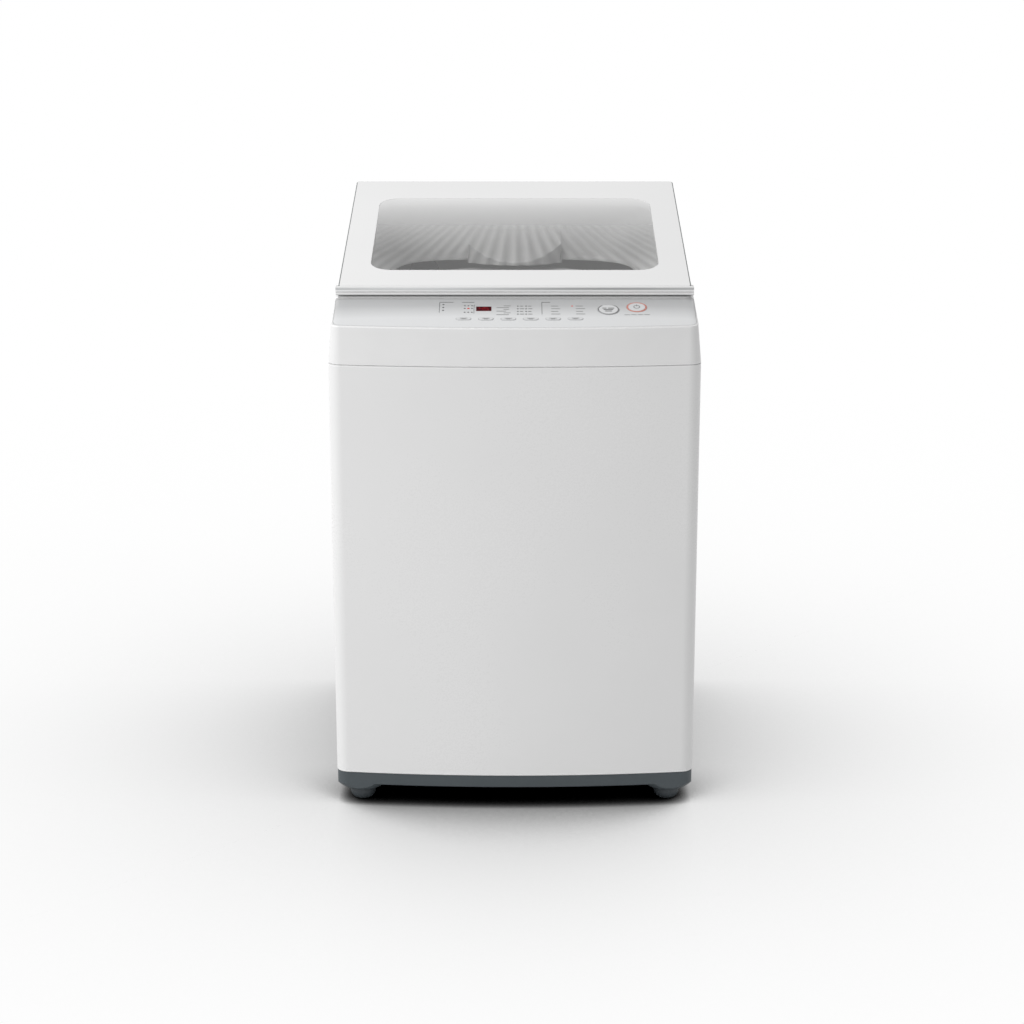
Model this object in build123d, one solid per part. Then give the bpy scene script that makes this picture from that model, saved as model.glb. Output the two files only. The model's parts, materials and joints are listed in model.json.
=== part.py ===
"""Top load washing machine, modelled as it comes apart on a bench.

Millimetres, +Z up, the front faces -Y. The origin is on the floor under the middle of the machine.
Each function makes one piece, and the table at the end names the file that each piece is written to.
"""

import os
from math import atan2, cos, degrees, pi, radians, sin, sqrt, tan

from build123d import *

# Cabinet
cabinet_width = 540.0
cabinet_depth = 557.0  # front corner line to the rear face
front_bow = 18.0  # how far the middle of the front stands before its corners
cabinet_height = 629.0
sheet = 1.0
front_corner_radius = 20.0
rear_corner_radius = 8.0
rear_flange = 24.0
bottom_flange = 15.0

# Rear panel
panel_overlap = 12.0
panel_dish_margin = 45.0
panel_dish_depth = 6.0
louvre_count = 7
louvre_size = (70.0, 5.0)
louvre_pitch = 14.0

# Base and feet
foot_height = 22.0
base_skirt_height = 19.0
base_boss_height = 32.0  # foot to cabinet
base_wall = 3.0
base_inset = 1.0
base_ledge_width = 32.0
base_ledge_thickness = 4.0
base_rib = 2.5
base_rib_pitch = 88.0
boss_bottom_radius = 30.0
boss_top_radius = 50.0
boss_belly = (0.62, 0.33)  # where the boss's curve bulges, as shares of its width and height
foot_radius = 19.0
foot_sole_radius = 10.0
foot_dome_height = 14.0
foot_stem_radius = 5.0
foot_stem_length = 48.0
foot_from_side = 38.0
foot_from_front = 34.0
foot_from_rear = 34.0
foot_nut_flats = 17.0
foot_nut_height = 8.0

# Top frame, with the control panel across its brow and the lid on its sloping deck
seam_gap = 0.8
frame_wall = 3.0
frame_skirt = 12.0
side_draft = 5.0  # degrees
rear_draft_inset = 3.0
brow_height = 56.0  # cabinet to the lower edge of the control panel
sill_height = 81.0  # cabinet to the upper edge of the control panel
sill_setback = 80.5  # front corner line to the upper edge of the control panel
deck_setback = 3.0  # upper edge of the control panel to the front of the deck

# Lid
lid_slope = 10.83  # degrees
lid_setback = 87.0  # front corner line to the front of the glass
lid_height = 99.0  # cabinet to the top of the glass at its front
lid_side_margin = 11.0  # side of the cabinet to the glass
lid_rear_margin = 8.4  # rear face to the glass
glass_thickness = 4.0
glass_corner = 4.0
lid_frame_thickness = 8.0
lid_frame_inset = 2.0
window_side = 43.0
window_front = 65.0
window_rear = 86.0
window_radius = 32.0
handle_overhang = 3.5
handle_height = 12.5
handle_front = 7.0
handle_tongue = 14.0
strip_height = 8.0
strip_top = 0.6
strip_depth = 2.0
lid_gap = 2.3  # lid frame to the deck

# Lid hinge, in the trough behind the deck
hinge_from_rear = 8.0
hinge_below_frame = 7.5
hinge_from_side = 59.0
knuckle_width = 24.0
knuckle_radius = 6.0
hinge_pin_radius = 3.0
hinge_ear = 5.0
hinge_gap = 0.4
trough_length = 28.0
trough_depth = 26.0
bumper_radius = 4.0
bumper_gap = 0.3
bumper_shares = (0.13, 0.85)

# Funnel from the deck down to the drum
funnel_wall = 2.5
funnel_side = 19.0  # side of the glass to the side of the funnel
funnel_front = 14.0  # front of the glass to the front of the funnel
funnel_rear = 40.0  # rear of the glass to the rear of the funnel
funnel_squareness = 6.0
funnel_flange = 5.0
funnel_flange_thickness = 1.5
mouth_side_margin = 7.0  # inside of the balance ring to the mouth
mouth_rear_margin = 2.0
mouth_front_margin = -10.0
mouth_height = 72.0  # cabinet to the mouth
mouth_lip = 4.0
mouth_squareness = 4.0
funnel_points = 32

# Water inlet
hood_width = 149.0
hood_bulge = 28.0
hood_reach = 36.0  # how far it stands out over the mouth
hood_drop = 5.0  # how far it hangs below the mouth
hood_lip = 4.0
hood_slope = 44.0  # degrees
hood_wall = 2.0
inlet_rise = 25.0  # mouth to the inlet
inlet_spigot_radius = 13.2
inlet_spigot_length = 16.0
inlet_bore_radius = 8.0
inlet_from_side = 120.0
inlet_hole_gap = 1.5
inlet_body = (44.0, 46.0, 40.0)
inlet_coil_radius = 14.0
inlet_coil_height = 24.0
inlet_tube_bend = 20.0
inlet_tube_wall = 2.0
inlet_pocket = 62.0
inlet_pocket_depth = 20.0
inlet_tube_radius = 9.0

# Control panel
fascia_thickness = 2.5
fascia_rim = 2.5
fascia_clearance = 0.2
key_count = 6
key_pitch = 32.3
key_to_start = 48.3
key_size = (21.0, 8.0)
key_share = 0.32  # share of the way up the panel
key_proud = 0.6
key_travel = 1.2
key_clearance = 0.3
key_flange = 1.5
start_to_power = 41.5
start_diameter = 31.0
power_from_side = 92.5
power_diameter = 24.6
power_ring_width = 2.2
start_share = 0.62
power_share = 0.70
display_to_key = 28.8
display_size = (22.0, 14.0)
display_share = 0.66
board_size = (330.0, 52.0)
board_thickness = 1.6
board_drop = 12.0
board_share = 0.54
board_post_radius = 3.0

# Tub, hung from four corner rods
tub_setback = 5.0  # how far the tub's axis lies behind the middle
tub_clearance = 34.0  # inside of the tub to the cabinet's narrower way across
tub_wall = 3.0
tub_floor = 232.0
tub_floor_thickness = 4.0
tub_rise = 33.0  # top of the cabinet to the top of the tub
tub_flange = 6.0
tub_flange_height = 6.0
tub_round = 22.0
tub_hub_radius = 26.0
tub_hoop = 4.0
tub_hoop_height = 4.0
tub_hoop_count = 3
tub_rib_count = 16
cover_overlap = 7.0
cover_height = 10.0
cover_wall = 3.0
rod_inset = 21.0
rod_radius = 4.0
rod_below_lug = 68.0
rod_head_radius = 11.0
rod_head_height = 7.0
rod_foot_radius = 14.0
rod_foot_height = 4.0
rod_clearance = 2.0
bracket_margin = 24.0
bracket_thickness = 3.0
lug_height = 300.0
lug_thickness = 26.0
lug_width = 44.0
cup_radius = 20.0
cup_wall = 3.0
cup_height = 58.0
spring_radius = 14.0
spring_wire = 4.0

# Drum, balance ring and pulsator
drum_gap = 14.0  # drum to the inside of the tub
drum_sheet = 1.2
drum_base_z = 262.0
drum_base_floor = 4.0
drum_base_rim = 34.0
drum_base_wall = 3.0
drum_drop = 17.0  # top of the tub to the top of the drum's wall
drum_seat = 8.0
drum_hub_radius = 42.0
drum_hub_height = 14.0
ring_width = 36.0
ring_overhang = 2.5
ring_height = 50.0
ring_crest_width = 14.0
ring_shoulder = 24.0
ring_round = 8.0
pulsator_margin = 54.0  # pulsator to the drum
pulsator_wall = 4.0
pulsator_gap = 5.0
pulsator_rise = 16.0
vane_count = 6
vane_height = 36.0
vane_width = 20.0
vane_inner = 42.0
vane_sweep = 26.0  # degrees from root to tip
vane_bow = 9.0
vane_tip = 4.0
vane_tip_height = 9.0
stir_hole_radius = 3.5
stir_hole_pitch = 22.0
stir_hole_rows = 4
cap_radius = 32.0
cap_height = 12.0
filter_width = 84.0
filter_height = 150.0
filter_depth = 10.0
filter_z = 360.0
filter_wall = 2.0
filter_border = 12.0
filter_slot = 7.0
filter_slot_count = 9

# Drive under the tub
plate_width = 180.0
plate_thickness = 3.0
plate_front_margin = 14.0
plate_rear = 150.0
plate_flange = 16.0
spin_tube_radius = 11.0
wash_shaft_radius = 7.0
running_clearance = 0.1
clutch_radius = 62.0
clutch_height = 64.0
clutch_neck_radius = 34.0
clutch_neck_height = 22.0
clutch_rib = 5.0
clutch_rib_count = 6
input_shaft_radius = 6.0
pulley_thickness = 22.0
pulley_drop = 20.0  # clutch to the top of the pulley
pulley_radius = 62.0
motor_pulley_radius = 22.0
pulley_hole_count = 5
belt_depth = 8.0
belt_width = 10.0
belt_clearance = 0.3
pulley_lip = 4.0
motor_offset = 155.0
motor_radius = 50.0
motor_height = 74.0
motor_end_radius = 34.0
motor_end_height = 10.0
motor_shaft_radius = 6.0
motor_slot = (5.0, 4.0)  # width and depth
motor_slot_margin = 12.0
motor_slot_count = 18
seal_height = 10.0

# Drain
drain_inset = 50.0
drain_angle = 143.75  # degrees round the tub's axis
valve_radius = 24.0
valve_height = 44.0
drain_pipe_radius = 15.0
drain_pipe_wall = 2.0
drain_outlet_rise = 42.0  # base to the outlet
drain_outlet_length = 34.0
drain_outlet_reach = 26.0
drain_hole_radius = 24.0

# Small parts
gland_bore_radius = 4.0
gland_radius = 9.0
gland_flange_radius = 12.0
gland_length = 14.0
gland_from_side = 80.0
gland_drop = 83.0  # top of the cabinet to the gland
screw_radius = 3.5
screw_head = 2.0
screw_rows = 5
sensor_radius = 24.0
sensor_height = 20.0
sensor_z = 38.0  # cabinet to its middle
switch_size = (10.0, 40.0, 14.0)

# Levels and lines that follow from the sizes
half_width = cabinet_width / 2
rear_line = (cabinet_depth + front_bow) / 2
front_line = rear_line - cabinet_depth
base_top = foot_height + base_boss_height
cabinet_top = base_top + cabinet_height
panel_face = rear_line - screw_head
steel_rear = panel_face - sheet
steel_inset = rear_line - steel_rear
brow_z = cabinet_top + brow_height
sill_z = cabinet_top + sill_height
sill_y = front_line + sill_setback
mouth_z = cabinet_top + mouth_height
inlet_level = mouth_z + inlet_rise
glass_width = cabinet_width - 2 * lid_side_margin
glass_length = (cabinet_depth - lid_setback - lid_rear_margin) / cos(radians(lid_slope))
window_width = glass_width - 2 * window_side
handle_width = glass_width + 2 * handle_overhang
hinge_spacing = glass_width - 2 * hinge_from_side
funnel_width = glass_width - 2 * funnel_side
crown_z = cabinet_top + lid_height + glass_length * sin(radians(lid_slope))
tub_y = (front_line + rear_line) / 2 + tub_setback
tub_top = cabinet_top + tub_rise
tub_radius = min(cabinet_width, cabinet_depth) / 2 - tub_clearance
cover_inner_radius = tub_radius - cover_overlap
rod_offset = tub_radius - rod_inset
plate_front = tub_radius - plate_front_margin
drum_radius = tub_radius - drum_gap
ring_outer_radius = drum_radius + ring_overhang
ring_inner_radius = drum_radius - ring_width
ring_crest_radius = ring_inner_radius + ring_crest_width
pulsator_radius = drum_radius - pulsator_margin
mouth_width = 2 * (ring_inner_radius + mouth_side_margin)
mouth_rear = ring_inner_radius + mouth_rear_margin
mouth_front = ring_inner_radius + mouth_front_margin
power_x = half_width - power_from_side
start_x = power_x - start_to_power
key_first_x = start_x - key_to_start - (key_count - 1) * key_pitch
display_x = key_first_x + display_to_key
inlet_x = half_width - inlet_from_side
sensor_x = -inlet_x
gland_x = half_width - gland_from_side
gland_z = cabinet_top - gland_drop
drain_outlet_x = -gland_x
drain_outlet_z = base_top + drain_outlet_rise
drain_x = (tub_radius - drain_inset) * cos(radians(drain_angle))
drain_y = tub_y + (tub_radius - drain_inset) * sin(radians(drain_angle))
side_step = tan(radians(side_draft))
corner_signs = [(-1, -1), (1, -1), (-1, 1), (1, 1)]

lid_plane = Plane(
    origin=(0, front_line + lid_setback, cabinet_top + lid_height),
    x_dir=(1, 0, 0),
    z_dir=(0, -sin(radians(lid_slope)), cos(radians(lid_slope))),
)
lid_underside = -(glass_thickness + lid_frame_thickness)
deck_level = lid_underside - lid_gap
hinge_v = glass_length - hinge_from_rear
hinge_w = lid_underside - hinge_below_frame
trough_v = glass_length - trough_length


def prism(face, low, high):
    """A face of the XY plane raised into a solid from one height to another."""
    return extrude(Pos(0, 0, low) * face, high - low, dir=(0, 0, 1))


def block(x, y, z):
    """A box between two values on each axis."""
    return Pos(sum(x) / 2, sum(y) / 2, sum(z) / 2) * Box(x[1] - x[0], y[1] - y[0], z[1] - z[0])


def plan(side=0.0, front=None, rear=0.0, bow=front_bow):
    """The machine's outline from above, inset from the cabinet's, with a bowed or a straight front."""
    x = half_width - side
    y_front = front_line + (side if front is None else front)
    y_rear = rear_line - rear
    left, right = (-x, y_front), (x, y_front)
    brow = ThreePointArc(left, (0, y_front - bow), right) if bow else Line(left, right)
    face = make_face([brow, Polyline(right, (x, y_rear), (-x, y_rear), left)])
    face = fillet(face.vertices().sort_by(Axis.Y)[:2], max(front_corner_radius - side, sheet))
    return fillet(face.vertices().sort_by(Axis.Y)[-2:], max(rear_corner_radius - rear, sheet))


def turned(points, rounds=(), x=0.0, y=0.0):
    """A profile of (radius, height) points turned about a vertical axis, with some corners rounded."""
    face = make_face(Polyline(*[(r, 0, z) for r, z in points], close=True))
    for (r, z), radius in rounds:
        face = fillet(face.vertices().sort_by_distance(Vector(r, 0, z))[:1], radius)
    return Pos(x, y, 0) * revolve(face, Axis.Z)


def tube(outer, inner, low, high, x=0.0, y=0.0):
    """An upright tube."""
    return turned([(inner, low), (outer, low), (outer, high), (inner, high)], x=x, y=y)


def rod(radius, low, high, x=0.0, y=0.0):
    """An upright round bar."""
    return Pos(x, y, low) * Cylinder(radius, high - low, align=(Align.CENTER, Align.CENTER, Align.MIN))


def across(radius, length, y, z, x=0.0):
    """A round bar along X, centred on x."""
    return Pos(x, y, z) * Rot(0, 90, 0) * Cylinder(radius, length)


def rearward(radius, x, z, low, high):
    """A round bar along Y, from one depth to another."""
    return Pos(x, 0, z) * Rot(-90, 0, 0) * rod(radius, low, high)


def on_lid(shape):
    """Carries a shape from the lid's own axes, across, up the slope and out of it, to the machine's."""
    return lid_plane * shape


# Cabinet

def cabinet():
    """Steel wrap: bowed front, two sides, rear flanges and a bottom flange that stands on the base."""
    outer = prism(plan(rear=steel_inset), base_top, cabinet_top)
    inner = prism(plan(sheet, rear=steel_inset + sheet), base_top - sheet, cabinet_top + sheet)
    rim = plan(rear=steel_inset) - plan(sheet + bottom_flange, rear=steel_inset + sheet + bottom_flange)
    flange = prism(rim, base_top, base_top + sheet)
    opening = block(
        (rear_flange - half_width, half_width - rear_flange),
        (steel_rear - rear_flange, rear_line),
        (base_top - sheet, cabinet_top + sheet),
    )
    return outer - inner + flange - opening


def rear_panel():
    """Pressed steel sheet over the rear opening, dished in its middle, with louvres and two holes."""
    x = half_width - rear_flange + panel_overlap
    low = base_top
    high = cabinet_top - seam_gap
    dish_x = x - panel_dish_margin
    dish_low = low + 2 * panel_dish_margin
    dish_high = high - panel_dish_margin
    floor = steel_rear - panel_dish_depth
    flat = block((-x, x), (steel_rear, panel_face), (low, high))
    pan = block((-dish_x, dish_x), (floor, panel_face), (dish_low, dish_high))
    inner_x = dish_x - sheet
    hollow = block((-inner_x, inner_x), (floor + sheet, rear_line), (dish_low + sheet, dish_high - sheet))
    sheet_metal = flat + pan - hollow
    for row in range(louvre_count):
        z = dish_high - panel_dish_margin - row * louvre_pitch
        sheet_metal -= Pos(0, floor, z) * Box(louvre_size[0], 4 * sheet, louvre_size[1])
    sheet_metal -= rearward(drain_hole_radius, drain_outlet_x, drain_outlet_z, floor, rear_line + sheet)
    sheet_metal -= rearward(gland_radius, gland_x, gland_z, floor - sheet, rear_line + sheet)
    return sheet_metal


def corner_brackets():
    """Four corner plates inside the top of the cabinet. They carry the tub's rods and the top frame."""
    high = cabinet_top - frame_skirt
    inside = prism(plan(sheet, rear=steel_inset + sheet), high - bracket_thickness, high)
    plates = Part()
    for (sx, sy), (x, y) in zip(corner_signs, rod_places()):
        corner_x = sx * half_width
        corner_y = front_line - front_bow if sy < 0 else rear_line
        leg = abs(corner_x - x) + abs(corner_y - y) + bracket_margin
        outline = Polyline(
            (corner_x, corner_y), (corner_x - sx * leg, corner_y), (corner_x, corner_y - sy * leg), close=True
        )
        plate = inside & prism(make_face(outline), 0, crown_z)
        plates += plate - rod(rod_radius + rod_clearance, 0, crown_z, x, y)
    return plates


# Base

def foot_places():
    """Where the four feet stand: front left, front right, rear left, rear right."""
    x = half_width - foot_from_side
    return [
        (-x, front_line + foot_from_front),
        (x, front_line + foot_from_front),
        (-x, rear_line - foot_from_rear),
        (x, rear_line - foot_from_rear),
    ]


def base_frame():
    """Moulded base: a skirt under the cabinet, a ledge inside it and four foot bosses."""
    skirt_low = base_top - base_skirt_height
    ledge_low = base_top - base_ledge_thickness
    outline = plan(base_inset, rear=base_inset)
    within = plan(base_inset + base_wall, rear=base_inset + base_wall)
    ledge_edge = base_inset + base_wall + base_ledge_width
    base = prism(outline - within, skirt_low, base_top)
    base += prism(within - plan(ledge_edge, rear=ledge_edge), ledge_low, base_top)
    base += base_ribs() & prism(within - plan(ledge_edge, rear=ledge_edge), skirt_low, base_top)
    solid = prism(outline, foot_height, base_top)
    for x, y in foot_places():
        base += Pos(x, y, 0) * foot_boss() & solid
    for x, y in foot_places():
        base -= rod(foot_stem_radius + running_clearance, 0, crown_z, x, y)
    return base


def base_ribs():
    """Ribs across the base, both ways, before the ledge's outline trims them."""
    reach = half_width + rear_line
    ribs = []
    for span, turn, middle in ((cabinet_width, 0, 0), (cabinet_depth, 90, (front_line + rear_line) / 2)):
        steps = int(span / 2 / base_rib_pitch)
        for step in range(-steps, steps + 1):
            rib = block((-base_rib / 2, base_rib / 2), (-reach, reach), (0, base_top))
            ribs.append(Pos(0, middle, 0) * Rot(0, 0, turn) * Pos(step * base_rib_pitch, 0, 0) * rib)
    return Part() + ribs


def foot_boss():
    """A bowl-shaped boss over a foot, before the base's outline trims it."""
    flare = boss_top_radius - boss_bottom_radius
    belly = (boss_bottom_radius + boss_belly[0] * flare, 0, foot_height + boss_belly[1] * base_boss_height)
    side = ThreePointArc((boss_bottom_radius, 0, foot_height), belly, (boss_top_radius, 0, base_top))
    rest = Polyline(side @ 1, (0, 0, base_top), (0, 0, foot_height), side @ 0)
    return revolve(make_face([side, rest]), Axis.Z)


def foot(x, y, gap):
    """A round-bottomed foot on a threaded stem."""
    top = foot_height - gap
    flare = foot_radius - foot_sole_radius
    belly = (foot_sole_radius + flare * sin(radians(45)), 0, foot_dome_height * (1 - cos(radians(45))))
    dome = ThreePointArc((foot_sole_radius, 0, 0), belly, (foot_radius, 0, foot_dome_height))
    rest = Polyline(dome @ 1, (foot_radius, 0, top), (0, 0, top), (0, 0, 0), dome @ 0)
    sole = revolve(make_face([dome, rest]), Axis.Z)
    return Pos(x, y, 0) * sole + rod(foot_stem_radius, top, top + foot_stem_length, x, y)


def front_foot(index):
    """A levelling foot, which screws down out of its boss."""
    x, y = foot_places()[index]
    return foot(x, y, belt_clearance)


def rear_feet():
    """Two fixed feet, pushed up against their bosses."""
    return Compound(children=[foot(x, y, 0.0) for x, y in foot_places()[2:]])


def foot_nuts():
    """The hexagon nuts that the front feet turn in, on the tops of their bosses."""
    hexagon = RegularPolygon(foot_nut_flats / 2, 6, major_radius=False)
    hexagon -= Circle(foot_stem_radius + running_clearance)
    nut = prism(hexagon, base_top, base_top + foot_nut_height)
    return Compound(children=[Pos(x, y, 0) * nut for x, y in foot_places()[:2]])


# Top frame

def frame_stack(inset, drop, low):
    """The top frame's outer form, or its hollow: a drafted band, the brow and the body up to the lid."""
    brow_in = inset + brow_height * side_step
    sill_in = inset + sill_height * side_step
    crown_in = inset + (crown_z - cabinet_top) * side_step
    sill_front = inset + sill_setback
    start = max(low - cabinet_top, 0) * side_step + inset
    brow = Pos(0, 0, brow_z - drop) * plan(brow_in, rear=inset)
    sill = Pos(0, 0, sill_z - drop) * plan(sill_in, front=sill_front, rear=inset, bow=0)
    deck_front = sill_front + deck_setback
    deck = Pos(0, 0, sill_z - drop) * plan(sill_in, front=deck_front, rear=inset, bow=0)
    crown = Pos(0, 0, crown_z) * plan(crown_in, front=deck_front, rear=inset + rear_draft_inset, bow=0)
    band = loft([Pos(0, 0, low) * plan(start, rear=inset), brow], ruled=True)
    return band + loft([brow, sill], ruled=True) + loft([deck, crown], ruled=True)


def below_deck(level):
    """Everything under a plane that lies parallel to the lid."""
    reach = 2 * (cabinet_width + cabinet_depth)
    return on_lid(Pos(0, 0, level) * Box(reach, reach, reach, align=(Align.CENTER, Align.CENTER, Align.MAX)))


def trough(wall):
    """The step behind the deck where the lid's hinge lies, grown by a wall."""
    low = deck_level - trough_depth - wall
    across = (-cabinet_width, cabinet_width)
    return on_lid(block(across, (trough_v - wall, 2 * glass_length), (low, glass_length)))


def inlet_recess(wall):
    """The pocket round the water inlet in the rear of the top frame, grown by a wall."""
    side = inlet_pocket / 2 + wall
    return block(
        (inlet_x - side, inlet_x + side),
        (rear_line - inlet_pocket_depth - wall, 2 * rear_line),
        (inlet_level - side, inlet_level + side),
    )


def squircle(half_x, half_y, power):
    """A closed curve between an ellipse, at power 2, and a rectangle, at a high one."""
    points = []
    for step in range(funnel_points):
        angle = 2 * pi * step / funnel_points
        c, s = cos(angle), sin(angle)
        radius = (abs(c / half_x) ** power + abs(s / half_y) ** power) ** (-1 / power)
        points.append((radius * c, radius * s))
    return make_face(Spline(*points, periodic=True))


funnel_length = glass_length - funnel_front - funnel_rear
funnel_v = funnel_front + funnel_length / 2


def funnel_top(margin, level):
    """The funnel's upper outline, in the plane of the deck."""
    face = squircle(funnel_width / 2 + margin, funnel_length / 2 + margin, funnel_squareness)
    return on_lid(Pos(0, funnel_v, level) * face)


def funnel_mouth(margin, z):
    """The funnel's lower outline, round the drum."""
    middle = tub_y + (mouth_rear - mouth_front) / 2
    half_length = (mouth_rear + mouth_front) / 2 + margin
    return Pos(0, middle, z) * squircle(mouth_width / 2 + margin, half_length, mouth_squareness)


def panel_layer(rim, top_drop, bottom_drop):
    """The part of the brow between two depths under its sloping face, inside a rim."""
    def under(drop):
        low = plan(brow_height * side_step)
        high = plan(sill_height * side_step, front=sill_setback, bow=0)
        return loft([Pos(0, 0, brow_z - drop) * low, Pos(0, 0, sill_z - drop) * high], ruled=True)

    within = prism(plan(brow_height * side_step + rim), brow_z - bottom_drop, sill_z)
    ahead = block((-half_width, half_width), (front_line - front_bow, sill_y), (0, crown_z))
    return (under(top_drop) - under(bottom_drop)) & within & ahead


def panel_place(x, share):
    """The plane of the control panel at a place across it and a share of the way up it."""
    half = half_width - brow_height * side_step
    arc = (half**2 + front_bow**2) / (2 * front_bow)
    y_low = front_line + brow_height * side_step - front_bow + arc - sqrt(arc**2 - x**2)
    run = sill_y - y_low
    rise = sill_z - brow_z
    tilt = atan2(rise, run)
    origin = (x, y_low + share * run, brow_z + share * rise)
    return Plane(origin=origin, x_dir=(1, 0, 0), z_dir=(0, -sin(tilt), cos(tilt)))


def board_place():
    """The plane of the control panel behind which the board lies, over the middle of the keys."""
    return panel_place((key_first_x + power_x) / 2, board_share)


def panel_window(margin):
    """The hole through the top frame behind the control panel, where the keys reach the board."""
    return board_place() * Box(board_size[0] + margin, board_size[1] + margin, 2 * board_drop)


def top_frame():
    """White moulded top: the brow, the deck that the lid closes on, and a skirt inside the cabinet."""
    low = cabinet_top + seam_gap
    outer = (frame_stack(0.0, 0.0, low) & below_deck(deck_level)) - trough(0) - inlet_recess(0)
    hollow = frame_stack(frame_wall, frame_wall + fascia_thickness, low - sheet)
    hollow = hollow & below_deck(deck_level - frame_wall)
    hollow = hollow - trough(frame_wall) - inlet_recess(frame_wall)
    skirt_in = sheet + key_clearance
    skirt_rear = steel_inset + sheet + key_clearance
    skirt = plan(skirt_in, rear=skirt_rear) - plan(skirt_in + frame_wall, rear=skirt_rear + frame_wall)
    frame = outer - hollow + prism(skirt, cabinet_top - frame_skirt, low + frame_wall)
    frame -= panel_layer(fascia_rim, 0.0, fascia_thickness)
    frame -= panel_window(5 * board_post_radius)
    opening = extrude(funnel_top(0.0, deck_level - 2 * frame_wall), 4 * frame_wall, dir=lid_plane.z_dir)
    inlet = rearward(inlet_spigot_radius + inlet_hole_gap, inlet_x, inlet_level, 0, rear_line)
    return frame - opening - inlet


def funnel_skin(margin):
    """The funnel's sloping wall as a solid plug, from the mouth up to the deck."""
    top = funnel_top(margin - key_clearance, deck_level)
    return loft([funnel_mouth(margin, mouth_z), top], ruled=True)


def tub_funnel():
    """White collar from the deck down to the drum's mouth, hung by a flange on the deck."""
    edge = funnel_mouth(0.0, mouth_z - mouth_lip) - funnel_mouth(-funnel_wall, mouth_z - mouth_lip)
    rim = funnel_top(funnel_flange, deck_level) - funnel_top(-key_clearance - funnel_wall, deck_level)
    funnel = funnel_skin(0.0) - funnel_skin(-funnel_wall)
    funnel += extrude(edge, mouth_lip, dir=(0, 0, 1))
    funnel += extrude(rim, funnel_flange_thickness, dir=lid_plane.z_dir)
    return funnel - inlet_passage(key_clearance)


# Water inlet

def inlet_passage(margin):
    """The round way from the inlet tube through the back of the funnel."""
    return rearward(inlet_tube_radius + margin, 0, inlet_level, tub_y, steel_rear - inlet_pocket_depth)


def funnel_back(z):
    """Where the funnel's rear wall lies at a height, between the mouth and the deck."""
    low = tub_y + mouth_rear
    edge = lid_plane.from_local_coords((0, funnel_front + funnel_length, deck_level))
    return low + (edge.Y - low) * (z - mouth_z) / (edge.Z - mouth_z)


def hood_body(wall):
    """The hood's outer form, or its hollow: a bowed front under a slope that runs up to the funnel's back."""
    x = hood_width / 2 - wall
    front = tub_y + mouth_rear - hood_reach + wall
    brow = ThreePointArc((-x, front + hood_bulge), (0, front), (x, front + hood_bulge))
    rest = Polyline((x, front + hood_bulge), (x, rear_line), (-x, rear_line), (-x, front + hood_bulge))
    low = mouth_z - hood_drop
    slope = Plane(
        origin=(0, front, low + hood_lip - wall),
        x_dir=(1, 0, 0),
        z_dir=(0, -sin(radians(hood_slope)), cos(radians(hood_slope))),
    )
    reach = 2 * cabinet_depth
    under = slope * Box(reach, reach, reach, align=(Align.CENTER, Align.CENTER, Align.MAX))
    return prism(make_face([brow, rest]), low - wall, crown_z) & under


def water_inlet_hood():
    """The hood that spreads the water at the back of the funnel, open underneath."""
    room = funnel_skin(-funnel_wall)
    room += prism(funnel_mouth(-funnel_wall, 0), mouth_z - mouth_lip - hood_drop, mouth_z)
    hood = hood_body(0.0) - hood_body(hood_wall)
    return hood & room & block((-half_width, half_width), (0, rear_line), (mouth_z - hood_drop, crown_z))


def inlet_valve():
    """Solenoid valve inside the top frame, with its hose spigot out in the pocket."""
    wall_in = rear_line - inlet_pocket_depth - frame_wall
    x, y, z = inlet_body
    middle = Pos(inlet_x, wall_in - y / 2, inlet_level)
    body = middle * Box(x, y, z)
    end = wall_in + frame_wall + inlet_spigot_length
    body += rearward(inlet_spigot_radius, inlet_x, inlet_level, wall_in - sheet, end)
    top = inlet_level + z / 2
    body += rod(inlet_coil_radius, top - sheet, top + inlet_coil_height, inlet_x, wall_in - y / 2)
    return body - rearward(inlet_bore_radius, inlet_x, inlet_level, wall_in - sheet, end + sheet)


def inlet_tube():
    """Bent tube from the valve to the hood at the back of the funnel."""
    y = rear_line - inlet_pocket_depth - frame_wall - inlet_body[1] / 2
    path = FilletPolyline(
        (inlet_x - inlet_body[0] / 2, y, inlet_level),
        (0, y, inlet_level),
        (0, funnel_back(inlet_level), inlet_level),
        radius=inlet_tube_bend,
    )
    section = Plane(origin=path @ 0, z_dir=path % 0) * (
        Circle(inlet_tube_radius) - Circle(inlet_tube_radius - inlet_tube_wall)
    )
    return sweep(section, path=path)


# Lid

def lid_glass():
    """Flat glass over the whole lid."""
    pane = RectangleRounded(glass_width, glass_length, glass_corner)
    return on_lid(extrude(Pos(0, glass_length / 2, -glass_thickness) * pane, glass_thickness, dir=(0, 0, 1)))


def lid_frame():
    """White frame under the glass, open at the window, with the two hinge knuckles."""
    width = glass_width - 2 * lid_frame_inset
    low, high = handle_tongue, glass_length - lid_frame_inset
    window_length = glass_length - window_front - window_rear
    face = Pos(0, (low + high) / 2) * RectangleRounded(width, high - low, glass_corner)
    window = RectangleRounded(window_width, window_length, window_radius)
    face -= Pos(0, window_front + window_length / 2) * window
    frame = prism(face, lid_underside, -glass_thickness)
    for side in (-1, 1):
        x = side * hinge_spacing / 2
        frame += across(knuckle_radius, knuckle_width, hinge_v, hinge_w, x)
        frame += block(
            (x - knuckle_width / 2, x + knuckle_width / 2),
            (hinge_v - knuckle_radius, hinge_v + knuckle_radius),
            (hinge_w, lid_underside),
        )
        frame -= across(hinge_pin_radius + running_clearance, 2 * knuckle_width, hinge_v, hinge_w, x)
    return on_lid(frame)


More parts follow.
